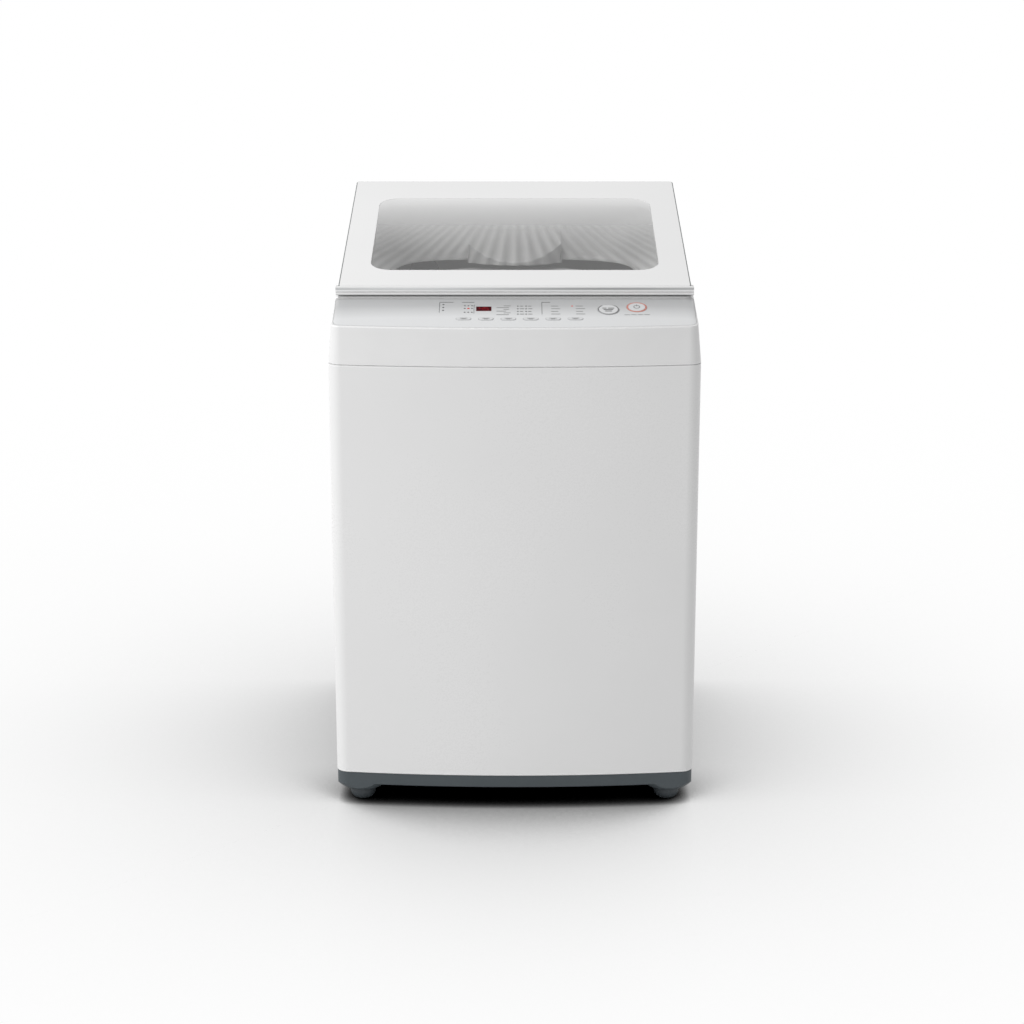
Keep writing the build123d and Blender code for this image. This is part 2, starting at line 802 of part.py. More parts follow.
def lid_handle():
    """White bar along the front of the lid, with a lip under it to lift by."""
    ledge = strip_height - handle_height
    back = strip_depth - handle_front
    face = make_face(
        [
            Polyline((0, back, -strip_top), (0, 0, 0), (0, 0, -glass_thickness)),
            Polyline(
                (0, 0, -glass_thickness),
                (0, handle_tongue, -glass_thickness),
                (0, handle_tongue, -handle_height),
                (0, back, -handle_height),
            ),
            ThreePointArc(
                (0, back, -handle_height),
                (0, -handle_front, -handle_height - ledge / 2),
                (0, back, -strip_height),
            ),
            Line((0, back, -strip_height), (0, back, -strip_top)),
        ]
    )
    return on_lid(extrude(face, handle_width / 2, dir=(1, 0, 0), both=True))


def lid_handle_strip():
    """Silver strip on the front of the handle."""
    back = strip_depth - handle_front
    face = make_face(
        [
            Line((0, back, -strip_height), (0, back, -strip_top)),
            ThreePointArc(
                (0, back, -strip_top),
                (0, -handle_front, -(strip_height + strip_top) / 2),
                (0, back, -strip_height),
            ),
        ]
    )
    return on_lid(extrude(face, handle_width / 2, dir=(1, 0, 0), both=True))


def lid_bumpers():
    """Four rubber studs under the lid that land on the deck."""
    x = (funnel_width / 2 + funnel_flange + glass_width / 2 - lid_frame_inset) / 2
    studs = [
        on_lid(rod(bumper_radius, deck_level + bumper_gap, lid_underside, side * x, share * glass_length))
        for side in (-1, 1)
        for share in bumper_shares
    ]
    return Compound(children=studs)


def hinge_brackets():
    """Two steel brackets in the trough, each with an ear on either side of a knuckle."""
    floor = deck_level - trough_depth
    brackets = []
    for side in (-1, 1):
        x = side * hinge_spacing / 2
        reach = knuckle_width / 2 + hinge_gap + hinge_ear
        plate_v = (hinge_v - hinge_from_rear, glass_length)
        bracket = block((x - reach, x + reach), plate_v, (floor, floor + hinge_ear / 2))
        for edge in (-1, 1):
            middle = x + edge * (reach - hinge_ear / 2)
            ear_x = (middle - hinge_ear / 2, middle + hinge_ear / 2)
            bracket += block(ear_x, (hinge_v - hinge_ear, hinge_v + hinge_ear), (floor, hinge_w))
            bracket += across(hinge_ear, hinge_ear, hinge_v, hinge_w, middle)
        brackets.append(on_lid(bracket - across(hinge_pin_radius, 3 * reach, hinge_v, hinge_w, x)))
    return Compound(children=brackets)


def hinge_pins():
    """The two steel pins that the lid turns on."""
    length = knuckle_width + 2 * (hinge_gap + hinge_ear)
    middles = (-hinge_spacing / 2, hinge_spacing / 2)
    return Compound(children=[on_lid(across(hinge_pin_radius, length, hinge_v, hinge_w, x)) for x in middles])


def lid_switch():
    """Lid switch under the right edge of the deck."""
    x = funnel_width / 2 + switch_size[0] / 2 + sheet
    top = deck_level - frame_wall
    return on_lid(Pos(x, 0.6 * glass_length, top - switch_size[2] / 2) * Box(*switch_size))


# Control panel

def key_places():
    """The six keys in the lower row of the control panel."""
    return [panel_place(key_first_x + index * key_pitch, key_share) for index in range(key_count)]


def pressed(outline, flange, place):
    """A key: its cap through the control panel, a flange behind it and a stem towards the board."""
    back = -fascia_thickness - 2 * key_clearance
    cap = prism(outline, back - sheet, key_proud)
    cap += prism(flange, back - sheet, back)
    cap += rod(board_post_radius, key_travel + 2 * sheet - board_drop, back)
    return place * cap


def key(index):
    """One of the six function keys."""
    flange = SlotOverall(key_size[0] + 2 * key_flange, key_size[1] + 2 * key_flange)
    return pressed(SlotOverall(*key_size), flange, key_places()[index])


def round_key(x, share, diameter):
    """A round key in the right of the control panel."""
    return pressed(Circle(diameter / 2), Circle(diameter / 2 + key_flange), panel_place(x, share))


def power_ring():
    """Coloured ring set into the control panel round the power key."""
    inner = power_diameter / 2 + key_clearance
    ring = Circle(inner + power_ring_width) - Circle(inner)
    return panel_place(power_x, power_share) * prism(ring, -fascia_thickness, key_proud / 2)


def display_lens():
    """Dark lens of the time display, standing on the board."""
    lens = prism(Rectangle(*display_size), 2 * sheet - board_drop, key_proud / 4)
    return panel_place(display_x, display_share) * lens


def control_panel():
    """Silver fascia let into the brow, with holes for the keys and posts for the board."""
    margin = fascia_rim + fascia_clearance
    fascia = panel_layer(margin, 0.0, fascia_thickness)
    behind = panel_layer(margin, fascia_thickness / 2, 2 * board_drop)
    x = board_size[0] / 2 - board_post_radius
    y = board_size[1] / 2 - board_post_radius
    for sx, sy in corner_signs:
        post = rod(board_post_radius, -board_drop, board_drop, sx * x, sy * y)
        fascia += board_place() * post & behind
    through = (-2 * fascia_thickness, 2 * fascia_thickness)
    hole = SlotOverall(key_size[0] + 2 * key_clearance, key_size[1] + 2 * key_clearance)
    for place in key_places():
        fascia -= place * prism(hole, *through)
    fascia -= panel_place(start_x, start_share) * prism(Circle(start_diameter / 2 + key_clearance), *through)
    ring = power_diameter / 2 + key_clearance + power_ring_width
    fascia -= panel_place(power_x, power_share) * prism(Circle(ring), *through)
    return fascia - panel_place(display_x, display_share) * prism(Rectangle(*display_size), *through)


def control_board():
    """Circuit board on the posts behind the control panel."""
    return board_place() * Pos(0, 0, -board_drop - board_thickness / 2) * Box(*board_size, board_thickness)


# Tub and its suspension

def rod_places():
    """Where the four rods hang, round the tub's axis."""
    return [(sx * rod_offset, tub_y + sy * rod_offset) for sx, sy in corner_signs]


def outer_tub():
    """Plastic water tub with four lugs that stand on the suspension cups."""
    outside = tub_radius + tub_wall
    floor = tub_floor + tub_floor_thickness
    tub = turned(
        [
            (tub_hub_radius, tub_floor),
            (outside, tub_floor),
            (outside, tub_top - tub_flange_height),
            (outside + tub_flange, tub_top - tub_flange_height),
            (outside + tub_flange, tub_top),
            (tub_radius, tub_top),
            (tub_radius, floor),
            (tub_hub_radius, floor),
        ],
        [((outside, tub_floor), tub_round), ((tub_radius, floor), tub_round - tub_wall)],
        y=tub_y,
    )
    tub += tub_stiffeners()
    reach = rod_offset * sqrt(2) + cup_radius - tub_radius
    bore = rod(tub_radius + tub_wall / 2, 0, crown_z, y=tub_y)
    for x, y in rod_places():
        angle = degrees(atan2(y - tub_y, x))
        lug = Pos(0, tub_y, lug_height + lug_thickness / 2) * Rot(0, 0, angle)
        lug = lug * Pos(tub_radius + reach / 2, 0, 0)
        tub += lug * Box(reach, lug_width, lug_thickness) - bore
    for x, y in rod_places():
        tub -= rod(rod_radius + rod_clearance, 0, crown_z, x, y)
    return tub - rod(drain_pipe_radius - drain_pipe_wall, 0, floor + sheet, drain_x, drain_y)


def tub_stiffeners():
    """Hoops and upright ribs on the outside of the tub, between its lugs and its flange."""
    inside = tub_radius + tub_wall / 2
    outside = tub_radius + tub_wall + tub_hoop
    low = lug_height + lug_thickness
    high = tub_top - tub_flange_height
    pitch = (high - low) / tub_hoop_count
    ribs = []
    for index in range(tub_rib_count):
        rib = block((inside, outside), (-tub_wall / 2, tub_wall / 2), (low, high))
        ribs.append(Rot(0, 0, 360 * (index + 0.5) / tub_rib_count) * rib)
    for index in range(tub_hoop_count):
        ribs.append(tube(outside, inside, low + index * pitch, low + index * pitch + tub_hoop_height))
    return Pos(0, tub_y, 0) * (Part() + ribs)


def tub_cover():
    """Ring on the tub's flange that keeps the water in round the balance ring."""
    outside = tub_radius + tub_wall + tub_flange
    top = tub_top + cover_height
    return turned(
        [
            (tub_radius, tub_top),
            (outside, tub_top),
            (outside, tub_top + cover_wall),
            (tub_radius, top),
            (cover_inner_radius, top),
            (cover_inner_radius, top - cover_wall),
            (tub_radius - cover_wall, top - cover_wall),
        ],
        y=tub_y,
    )


def suspension_rods():
    """Four steel rods with a round head on each corner bracket and a foot under each spring."""
    head = cabinet_top - frame_skirt
    low = lug_height - rod_below_lug
    rods = []
    for x, y in rod_places():
        shape = rod(rod_radius, low, head + rod_head_height, x, y)
        shape += rod(rod_head_radius, head, head + rod_head_height, x, y)
        rods.append(shape + rod(rod_foot_radius, low, low + rod_foot_height, x, y))
    return Compound(children=rods)


def suspension_cups():
    """Four damper cups under the tub's lugs, open at the bottom."""
    low = lug_height - cup_height
    profile = [
        (rod_radius + rod_clearance, lug_height),
        (cup_radius, lug_height),
        (cup_radius, low),
        (cup_radius - cup_wall, low),
        (cup_radius - cup_wall, lug_height - cup_wall),
        (rod_radius + rod_clearance, lug_height - cup_wall),
    ]
    return Compound(children=[turned(profile, x=x, y=y) for x, y in rod_places()])


def suspension_springs():
    """Four coil springs between the rods' feet and the cups, each drawn as the sleeve it fills."""
    low = lug_height - rod_below_lug + rod_foot_height
    high = lug_height - cup_wall
    inside = spring_radius - spring_wire
    return Compound(children=[tube(spring_radius, inside, low, high, x, y) for x, y in rod_places()])


# Drum

drum_low = drum_base_z + drum_base_rim - drum_seat
drum_top = tub_top - drum_drop


def wash_drum():
    """Stainless steel drum wall."""
    return tube(drum_radius, drum_radius - drum_sheet, drum_low, drum_top, y=tub_y)


def drum_base():
    """Moulded bottom of the drum, with the hub that the spin tube drives."""
    seat = drum_radius - drum_sheet
    rim = drum_base_z + drum_base_rim
    return turned(
        [
            (spin_tube_radius, drum_base_z - drum_hub_height),
            (drum_hub_radius, drum_base_z - drum_hub_height),
            (drum_hub_radius, drum_base_z),
            (drum_radius, drum_base_z),
            (drum_radius, rim - drum_seat),
            (seat, rim - drum_seat),
            (seat, rim),
            (seat - drum_base_wall, rim),
            (seat - drum_base_wall, drum_base_z + drum_base_floor),
            (spin_tube_radius, drum_base_z + drum_base_floor),
        ],
        [((seat - drum_base_wall, drum_base_z + drum_base_floor), tub_round / 2)],
        y=tub_y,
    )


def balance_ring():
    """Hollow ring of salt water on top of the drum, which steadies it in the spin."""
    seat = drum_radius - drum_sheet
    top = drum_top + ring_height - drum_seat
    return turned(
        [
            (seat, drum_top - drum_seat),
            (seat, drum_top),
            (ring_outer_radius, drum_top),
            (ring_outer_radius, top - ring_shoulder),
            (ring_crest_radius, top),
            (ring_inner_radius, top),
            (ring_inner_radius, drum_top - drum_seat),
        ],
        [
            ((ring_inner_radius, top), ring_round),
            ((ring_crest_radius, top), ring_round),
            ((ring_inner_radius, drum_top - drum_seat), ring_round),
        ],
        y=tub_y,
    )


pulsator_low = drum_base_z + drum_base_floor + pulsator_gap


def pulsator():
    """Low cone in the bottom of the drum with vanes that stir the wash."""
    rim_top = pulsator_low + pulsator_wall
    top = rim_top + pulsator_rise
    cone = turned(
        [
            (wash_shaft_radius, pulsator_low),
            (pulsator_radius, pulsator_low),
            (pulsator_radius, rim_top),
            (cap_radius + sheet, top),
            (wash_shaft_radius, top),
        ]
    )
    vane = pulsator_vane()
    turn = 360 / vane_count
    for index in range(vane_count):
        cone += Rot(0, 0, index * turn) * vane
    for index in range(vane_count):
        for row in range(stir_hole_rows):
            radius = pulsator_radius - (row + 1) * stir_hole_pitch
            angle = (index + 0.5) * turn + vane_sweep * (1 - row / stir_hole_rows)
            cone -= Rot(0, 0, angle) * rod(stir_hole_radius, 0, crown_z, radius)
    return Pos(0, tub_y, 0) * cone


def pulsator_vane():
    """A curved vane that sweeps back from its root and falls away towards the rim."""
    tip_radius = pulsator_radius - vane_width
    sweep = radians(vane_sweep)
    tip = (tip_radius * cos(sweep), tip_radius * sin(sweep))
    middle = ((vane_inner + tip[0]) / 2, tip[1] / 2)
    ahead = (middle[0] + vane_bow * sin(sweep), middle[1] - vane_bow - vane_width / 4)
    behind = (ahead[0] - vane_width / 2 * sin(sweep), ahead[1] + vane_width / 2 + vane_tip)
    root_low, root_high = (vane_inner, -vane_width / 2), (vane_inner, vane_width / 2)
    front, back = ThreePointArc(root_low, ahead, tip), ThreePointArc(tip, behind, root_high)
    face = make_face([front, back, Line(root_high, root_low)])
    face = fillet(face.vertices().sort_by_distance(Vector(*tip))[:1], vane_tip)
    rim_top = pulsator_low + pulsator_wall
    crest = rim_top + vane_height
    fall = turned(
        [
            (0, pulsator_low),
            (pulsator_radius, pulsator_low),
            (pulsator_radius, rim_top + vane_tip_height),
            (vane_inner + vane_width, crest),
            (0, crest),
        ],
        [((vane_inner + vane_width, crest), vane_height)],
    )
    return prism(face, pulsator_low + sheet, crest) & fall


def pulsator_cap():
    """Round cap over the screw in the middle of the pulsator."""
    low = pulsator_low + pulsator_wall + pulsator_rise
    return turned(
        [(0, low), (cap_radius, low), (cap_radius, low + cap_height), (0, low + cap_height)],
        [((cap_radius, low + cap_height), cap_height / 2)],
        y=tub_y,
    )


def lint_filter():
    """Hollow box of the lint filter on the right of the drum wall, curved to it, with a slotted face."""
    def layer(inset):
        outer = drum_radius - drum_sheet - key_clearance - inset
        inner = drum_radius - drum_sheet - key_clearance - filter_depth + inset
        half = filter_width / 2 - inset
        ring = tube(outer, inner, filter_z + inset, filter_z + filter_height - inset, y=tub_y)
        return ring & block((0, outer), (tub_y - half, tub_y + half), (0, crown_z))

    half = filter_width / 2 - filter_border
    depth = drum_radius - drum_sheet - key_clearance - filter_depth / 2
    pitch = (filter_height - 2 * filter_border) / filter_slot_count
    box = layer(0.0) - layer(filter_wall)
    for index in range(filter_slot_count):
        middle = filter_z + filter_border + (index + 0.5) * pitch
        slot = (middle - filter_slot / 2, middle + filter_slot / 2)
        box -= block((0, depth), (tub_y - half, tub_y + half), slot)
    return box


# Drive

plate_low = tub_floor - plate_thickness
clutch_low = plate_low - clutch_height - clutch_neck_height
gear_low = plate_low - clutch_height
pulley_top = clutch_low - pulley_drop
pulley_low = pulley_top - pulley_thickness
motor_y = tub_y - motor_offset
motor_low = plate_low - motor_height - 2 * motor_end_height


def support_plate():
    """Steel plate under the tub that carries the clutch and the motor, with its long edges folded down."""
    x = plate_width / 2
    y = (tub_y - plate_front, tub_y + plate_rear)
    plate = block((-x, x), y, (plate_low - plate_flange, tub_floor))
    plate -= block((plate_thickness - x, x - plate_thickness), y, (plate_low - plate_flange, plate_low))
    return plate - rod(tub_hub_radius, 0, crown_z, y=tub_y)


def clutch_housing():
    """Housing of the reduction gear and the spin clutch, bored for the two shafts."""
    spin_bore = spin_tube_radius + running_clearance
    input_bore = input_shaft_radius + running_clearance
    step = gear_low + clutch_height / 3
    housing = turned(
        [
            (spin_bore, plate_low),
            (clutch_radius, plate_low),
            (clutch_radius, gear_low),
            (clutch_neck_radius, gear_low),
            (clutch_neck_radius, clutch_low),
            (input_bore, clutch_low),
            (input_bore, gear_low),
            (0, gear_low),
            (0, step),
            (spin_bore, step),
        ]
    )
    neck = (clutch_neck_radius - sheet, 0, clutch_low + clutch_rib)
    root = (clutch_neck_radius - sheet, 0, gear_low + sheet)
    edge = (clutch_radius - clutch_rib, 0, gear_low + sheet)
    rib = extrude(make_face(Polyline(neck, root, edge, close=True)), clutch_rib / 2, dir=(0, 1, 0), both=True)
    for index in range(clutch_rib_count):
        housing += Rot(0, 0, 360 * index / clutch_rib_count) * rib
    return Pos(0, tub_y, 0) * housing


def tub_seal():
    """Rubber lip seal between the tub and the spin tube."""
    bore = spin_tube_radius + running_clearance
    return tube(tub_hub_radius, bore, tub_floor, tub_floor + seal_height, y=tub_y)


def spin_tube():
    """Hollow shaft from the clutch to the drum."""
    low = gear_low + clutch_height / 3 + sheet
    bore = wash_shaft_radius + running_clearance
    return tube(spin_tube_radius, bore, low, drum_base_z + drum_base_floor, y=tub_y)


def wash_shaft():
    """Shaft from the gear through the spin tube to the pulsator."""
    low = gear_low + clutch_height / 3 + sheet
    return rod(wash_shaft_radius, low, pulsator_low + pulsator_wall + pulsator_rise, y=tub_y)


def pulley(radius, shaft_radius, shaft_top, y):
    """A grooved pulley on its shaft."""
    middle = (pulley_low + pulley_top) / 2
    groove = belt_width / 2 + belt_clearance
    wheel = turned(
        [
            (0, pulley_low),
            (radius, pulley_low),
            (radius, middle - groove),
            (radius - belt_depth, middle - groove),
            (radius - belt_depth, middle + groove),
            (radius, middle + groove),
            (radius, pulley_top),
            (0, pulley_top),
        ]
    )
    return Pos(0, y, 0) * wheel + rod(shaft_radius, pulley_low, shaft_top, y=y)


def drive_pulley():
    """Large pulley on the clutch's input shaft, thinned to a web with round holes between its hub and rim."""
    wheel = pulley(pulley_radius, input_shaft_radius, gear_low - sheet, tub_y)
    rim = pulley_radius - belt_depth - pulley_lip
    depth = pulley_thickness / 2 - pulley_lip / 2
    hub = motor_pulley_radius
    wheel -= tube(rim, hub, pulley_low, pulley_low + depth, y=tub_y)
    wheel -= tube(rim, hub, pulley_top - depth, pulley_top, y=tub_y)
    hole = rod((rim - hub) / 2 - pulley_lip, pulley_low, pulley_top, (rim + hub) / 2)
    for index in range(pulley_hole_count):
        wheel -= Pos(0, tub_y, 0) * Rot(0, 0, 360 * index / pulley_hole_count) * hole
    return wheel


def motor():
    """Motor under the tub, hung from the support plate, with cooling slots round its shell."""
    body = turned(
        [
            (0, plate_low),
            (motor_end_radius, plate_low),
            (motor_end_radius, plate_low - motor_end_height),
            (motor_radius, plate_low - motor_end_height),
            (motor_radius, motor_low + motor_end_height),
            (motor_end_radius, motor_low + motor_end_height),
            (motor_end_radius, motor_low),
            (0, motor_low),
        ]
    )
    width, depth = motor_slot
    low = motor_low + motor_end_height + motor_slot_margin
    high = plate_low - motor_end_height - motor_slot_margin
    slot = block((motor_radius - depth, motor_radius + depth), (-width / 2, width / 2), (low, high))
    for index in range(motor_slot_count):
        body -= Rot(0, 0, 360 * index / motor_slot_count) * slot
    body -= rod(motor_shaft_radius + running_clearance, 0, motor_low + 2 * motor_end_height)
    return Pos(0, motor_y, 0) * body


def motor_pulley():
    """Small pulley on the motor's shaft."""
    return pulley(motor_pulley_radius, motor_shaft_radius, motor_low + 2 * motor_end_height - sheet, motor_y)


def drive_belt():
    """Belt round the two pulleys."""
    def loop(margin):
        large = Circle(pulley_radius - belt_depth + margin)
        small = Pos(0, -motor_offset) * Circle(motor_pulley_radius - belt_depth + margin)
        return make_hull(large.edges() + small.edges())

    middle = (pulley_low + pulley_top) / 2
    face = loop(belt_clearance + belt_depth) - loop(belt_clearance)
    return Pos(0, tub_y, 0) * prism(face, middle - belt_width / 2, middle + belt_width / 2)


# Drain

valve_low = tub_floor - valve_height
valve_outlet_z = valve_low + drain_pipe_radius + drain_pipe_wall
valve_outlet_y = drain_y + valve_radius + drain_pipe_radius
outlet_start = panel_face - drain_outlet_length


def drain_valve():
    """Drain valve under the tub's floor, with its outlet to the rear."""
    body = rod(valve_radius, valve_low, tub_floor, drain_x, drain_y)
    body += rearward(drain_pipe_radius, drain_x, valve_outlet_z, drain_y, valve_outlet_y)
    return body - rod(drain_pipe_radius - drain_pipe_wall, valve_outlet_z, crown_z, drain_x, drain_y)


def drain_hose():
    """Soft hose from the valve down to the outlet in the rear panel."""
    bend = 1.3 * drain_pipe_radius
    turn_y = (valve_outlet_y + outlet_start) / 2 + bend / 4
    path = FilletPolyline(
        (drain_x, valve_outlet_y, valve_outlet_z),
        (drain_x, turn_y, valve_outlet_z),
        (drain_outlet_x, turn_y, drain_outlet_z),
        (drain_outlet_x, outlet_start, drain_outlet_z),
        radius=bend,
    )
    ring = Circle(drain_pipe_radius) - Circle(drain_pipe_radius - drain_pipe_wall)
    return sweep(Plane(origin=path @ 0, z_dir=path % 0) * ring, path=path)


def drain_outlet():
    """Outlet pipe in a cup behind the rear panel, for the drain hose to push on."""
    cup_radius_in = drain_hole_radius + cup_wall
    start = panel_face - drain_outlet_reach
    x, z = drain_outlet_x, drain_outlet_z
    cup = rearward(cup_radius_in + cup_wall, x, z, start - cup_wall, steel_rear)
    cup -= rearward(cup_radius_in, x, z, start, rear_line)
    pipe = rearward(drain_pipe_radius, x, z, outlet_start, panel_face)
    return cup + pipe - rearward(drain_pipe_radius - drain_pipe_wall, x, z, 0, rear_line)


# Small parts

def cord_gland():
    """Rubber gland in the rear panel for the mains lead."""
    face = panel_face - panel_dish_depth
    gland = rearward(gland_flange_radius, gland_x, gland_z, face, face + 2 * sheet)
    gland += rearward(gland_radius, gland_x, gland_z, face + 2 * sheet - gland_length, face + sheet)
    return gland - rearward(gland_bore_radius, gland_x, gland_z, 0, 2 * rear_line)


def panel_screws():
    """Screw heads down both edges of the rear panel."""
    x = half_width - rear_flange + panel_overlap / 2
    low = base_top + panel_overlap - seam_gap
    pitch = (cabinet_height - 2 * panel_overlap) / (screw_rows - 1)
    heads = [
        rearward(screw_radius, side * x, low + row * pitch, panel_face, rear_line)
        for side in (-1, 1)
        for row in range(screw_rows)
    ]
    return Compound(children=heads)


def level_sensor():
    """Water level sensor on the inside of the top frame's rear wall."""
    face = rear_line - frame_wall
    z = cabinet_top + sensor_z
    return rearward(sensor_radius, sensor_x, z, face - sensor_height, face) + rearward(
        rod_radius, sensor_x, z, face - 2 * sensor_height, face - sheet
    )


parts = {
    "cabinet": cabinet,
    "rear_panel": rear_panel,
    "panel_screws": panel_screws,
    "corner_brackets": corner_brackets,
    "base_frame": base_frame,
    "front_left_foot": lambda: front_foot(0),
    "front_right_foot": lambda: front_foot(1),
    "rear_feet": rear_feet,
    "foot_nuts": foot_nuts,
    "top_frame": top_frame,
    "tub_funnel": tub_funnel,
    "water_inlet_hood": water_inlet_hood,
    "inlet_valve": inlet_valve,
    "inlet_tube": inlet_tube,
    "level_sensor": level_sensor,
    "lid_glass": lid_glass,
    "lid_frame": lid_frame,
    "lid_handle": lid_handle,
    "lid_handle_strip": lid_handle_strip,
    "lid_bumpers": lid_bumpers,
    "hinge_brackets": hinge_brackets,
    "hinge_pins": hinge_pins,
    "lid_switch": lid_switch,
    "control_panel": control_panel,
    "display_lens": display_lens,
    "start_button": lambda: round_key(start_x, start_share, start_diameter),
    "power_button": lambda: round_key(power_x, power_share, power_diameter),
    "power_ring": power_ring,
    "control_board": control_board,
    "outer_tub": outer_tub,
    "tub_cover": tub_cover,
    "suspension_rods": suspension_rods,
    "suspension_cups": suspension_cups,
    "suspension_springs": suspension_springs,
    "wash_drum": wash_drum,
    "drum_base": drum_base,
    "balance_ring": balance_ring,
    "pulsator": pulsator,
    "pulsator_cap": pulsator_cap,
    "lint_filter": lint_filter,
    "support_plate": support_plate,
    "clutch_housing": clutch_housing,
    "tub_seal": tub_seal,
    "spin_tube": spin_tube,
    "wash_shaft": wash_shaft,
    "drive_pulley": drive_pulley,
    "motor": motor,
    "motor_pulley": motor_pulley,
    "drive_belt": drive_belt,
    "drain_valve": drain_valve,
    "drain_hose": drain_hose,
    "drain_outlet": drain_outlet,
    "cord_gland": cord_gland,
}
for number in range(key_count):
    parts[f"key_{number + 1}"] = lambda index=number: key(index)

os.makedirs("parts", exist_ok=True)
for name, make in parts.items():
    export_step(make(), f"parts/{name}.step")
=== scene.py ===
"""Looks of a top load washing machine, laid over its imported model.

Metres, +Z up, the front faces -Y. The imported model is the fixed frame. Its nodes keep their shapes
and get their finishes here. Pieces that a plain solid can only stand for are modelled here and take
that solid's place.
"""

import json
import logging
from dataclasses import dataclass
from enum import Enum
from functools import lru_cache
from math import acos, ceil, cos, pi, radians, sin, sqrt, tan
from typing import Any, Callable, ClassVar, Iterator, Optional, Sequence, Union

import bpy
from mathutils import Matrix, Vector
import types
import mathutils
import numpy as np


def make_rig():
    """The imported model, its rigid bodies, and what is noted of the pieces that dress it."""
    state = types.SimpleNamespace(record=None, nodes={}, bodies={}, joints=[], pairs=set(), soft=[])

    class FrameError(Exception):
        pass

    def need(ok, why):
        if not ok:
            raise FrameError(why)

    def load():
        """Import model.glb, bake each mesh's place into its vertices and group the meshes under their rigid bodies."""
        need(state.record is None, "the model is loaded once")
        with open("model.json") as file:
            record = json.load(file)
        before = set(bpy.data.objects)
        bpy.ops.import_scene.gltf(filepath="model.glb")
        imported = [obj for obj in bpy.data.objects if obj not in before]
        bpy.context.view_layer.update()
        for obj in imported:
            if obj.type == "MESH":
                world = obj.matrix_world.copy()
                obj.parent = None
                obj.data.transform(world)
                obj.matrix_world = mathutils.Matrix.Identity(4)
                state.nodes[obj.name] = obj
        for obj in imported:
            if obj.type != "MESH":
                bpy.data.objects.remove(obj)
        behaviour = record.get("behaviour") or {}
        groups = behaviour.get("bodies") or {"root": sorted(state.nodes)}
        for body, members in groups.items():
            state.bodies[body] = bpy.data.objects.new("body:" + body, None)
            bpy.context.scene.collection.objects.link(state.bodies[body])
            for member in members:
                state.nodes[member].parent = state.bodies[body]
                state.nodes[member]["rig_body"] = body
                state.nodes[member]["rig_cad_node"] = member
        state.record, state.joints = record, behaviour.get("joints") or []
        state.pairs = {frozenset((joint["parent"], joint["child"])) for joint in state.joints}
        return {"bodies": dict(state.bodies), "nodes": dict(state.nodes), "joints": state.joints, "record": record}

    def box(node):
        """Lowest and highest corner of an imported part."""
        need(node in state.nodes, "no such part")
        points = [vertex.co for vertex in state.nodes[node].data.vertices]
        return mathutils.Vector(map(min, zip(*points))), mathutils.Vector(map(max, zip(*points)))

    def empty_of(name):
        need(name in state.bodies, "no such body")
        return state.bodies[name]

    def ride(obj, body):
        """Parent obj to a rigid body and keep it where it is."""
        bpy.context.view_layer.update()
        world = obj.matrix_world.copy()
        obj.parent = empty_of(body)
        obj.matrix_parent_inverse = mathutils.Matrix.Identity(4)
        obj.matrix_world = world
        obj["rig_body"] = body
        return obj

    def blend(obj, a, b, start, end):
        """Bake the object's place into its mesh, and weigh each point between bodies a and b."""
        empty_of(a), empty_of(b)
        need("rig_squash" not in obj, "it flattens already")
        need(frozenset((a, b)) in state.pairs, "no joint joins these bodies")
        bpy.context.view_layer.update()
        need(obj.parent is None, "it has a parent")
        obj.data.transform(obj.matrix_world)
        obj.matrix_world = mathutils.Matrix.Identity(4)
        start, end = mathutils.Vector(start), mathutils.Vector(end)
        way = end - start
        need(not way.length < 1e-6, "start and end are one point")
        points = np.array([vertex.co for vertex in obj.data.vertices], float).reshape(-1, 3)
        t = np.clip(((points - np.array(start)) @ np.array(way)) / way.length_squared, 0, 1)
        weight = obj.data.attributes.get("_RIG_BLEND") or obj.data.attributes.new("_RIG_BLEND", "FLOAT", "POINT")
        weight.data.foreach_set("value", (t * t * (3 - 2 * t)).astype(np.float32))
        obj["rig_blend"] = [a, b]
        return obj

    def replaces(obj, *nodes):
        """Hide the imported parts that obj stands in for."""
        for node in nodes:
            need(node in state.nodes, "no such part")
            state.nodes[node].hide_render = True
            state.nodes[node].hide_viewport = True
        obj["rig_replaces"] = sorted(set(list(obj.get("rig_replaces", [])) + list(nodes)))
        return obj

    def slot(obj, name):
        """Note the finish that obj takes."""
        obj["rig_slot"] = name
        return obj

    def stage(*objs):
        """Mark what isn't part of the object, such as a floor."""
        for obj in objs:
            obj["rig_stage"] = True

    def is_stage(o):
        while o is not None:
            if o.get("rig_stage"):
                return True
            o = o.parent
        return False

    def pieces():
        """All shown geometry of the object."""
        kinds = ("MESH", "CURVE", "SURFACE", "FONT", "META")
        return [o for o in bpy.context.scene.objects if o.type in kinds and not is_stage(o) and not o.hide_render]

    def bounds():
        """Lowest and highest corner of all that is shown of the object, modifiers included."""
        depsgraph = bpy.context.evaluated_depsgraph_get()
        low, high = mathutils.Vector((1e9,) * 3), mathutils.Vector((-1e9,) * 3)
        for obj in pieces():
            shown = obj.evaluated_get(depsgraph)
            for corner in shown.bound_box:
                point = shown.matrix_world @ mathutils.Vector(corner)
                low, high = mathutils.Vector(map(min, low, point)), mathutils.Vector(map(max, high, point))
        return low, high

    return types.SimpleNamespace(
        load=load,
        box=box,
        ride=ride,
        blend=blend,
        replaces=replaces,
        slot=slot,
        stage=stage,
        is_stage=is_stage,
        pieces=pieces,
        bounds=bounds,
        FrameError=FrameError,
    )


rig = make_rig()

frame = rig.load()

log = logging.getLogger("washing_machine")

Colour = tuple[float, float, float]
Pair = tuple[float, float]
Number = Union[float, "Val"]
Piece = bpy.types.Object
Owner = Union[bpy.types.Material, bpy.types.World]

WHITE: Colour = (1.0, 1.0, 1.0)
BLACK: Colour = (0.0, 0.0, 0.0)


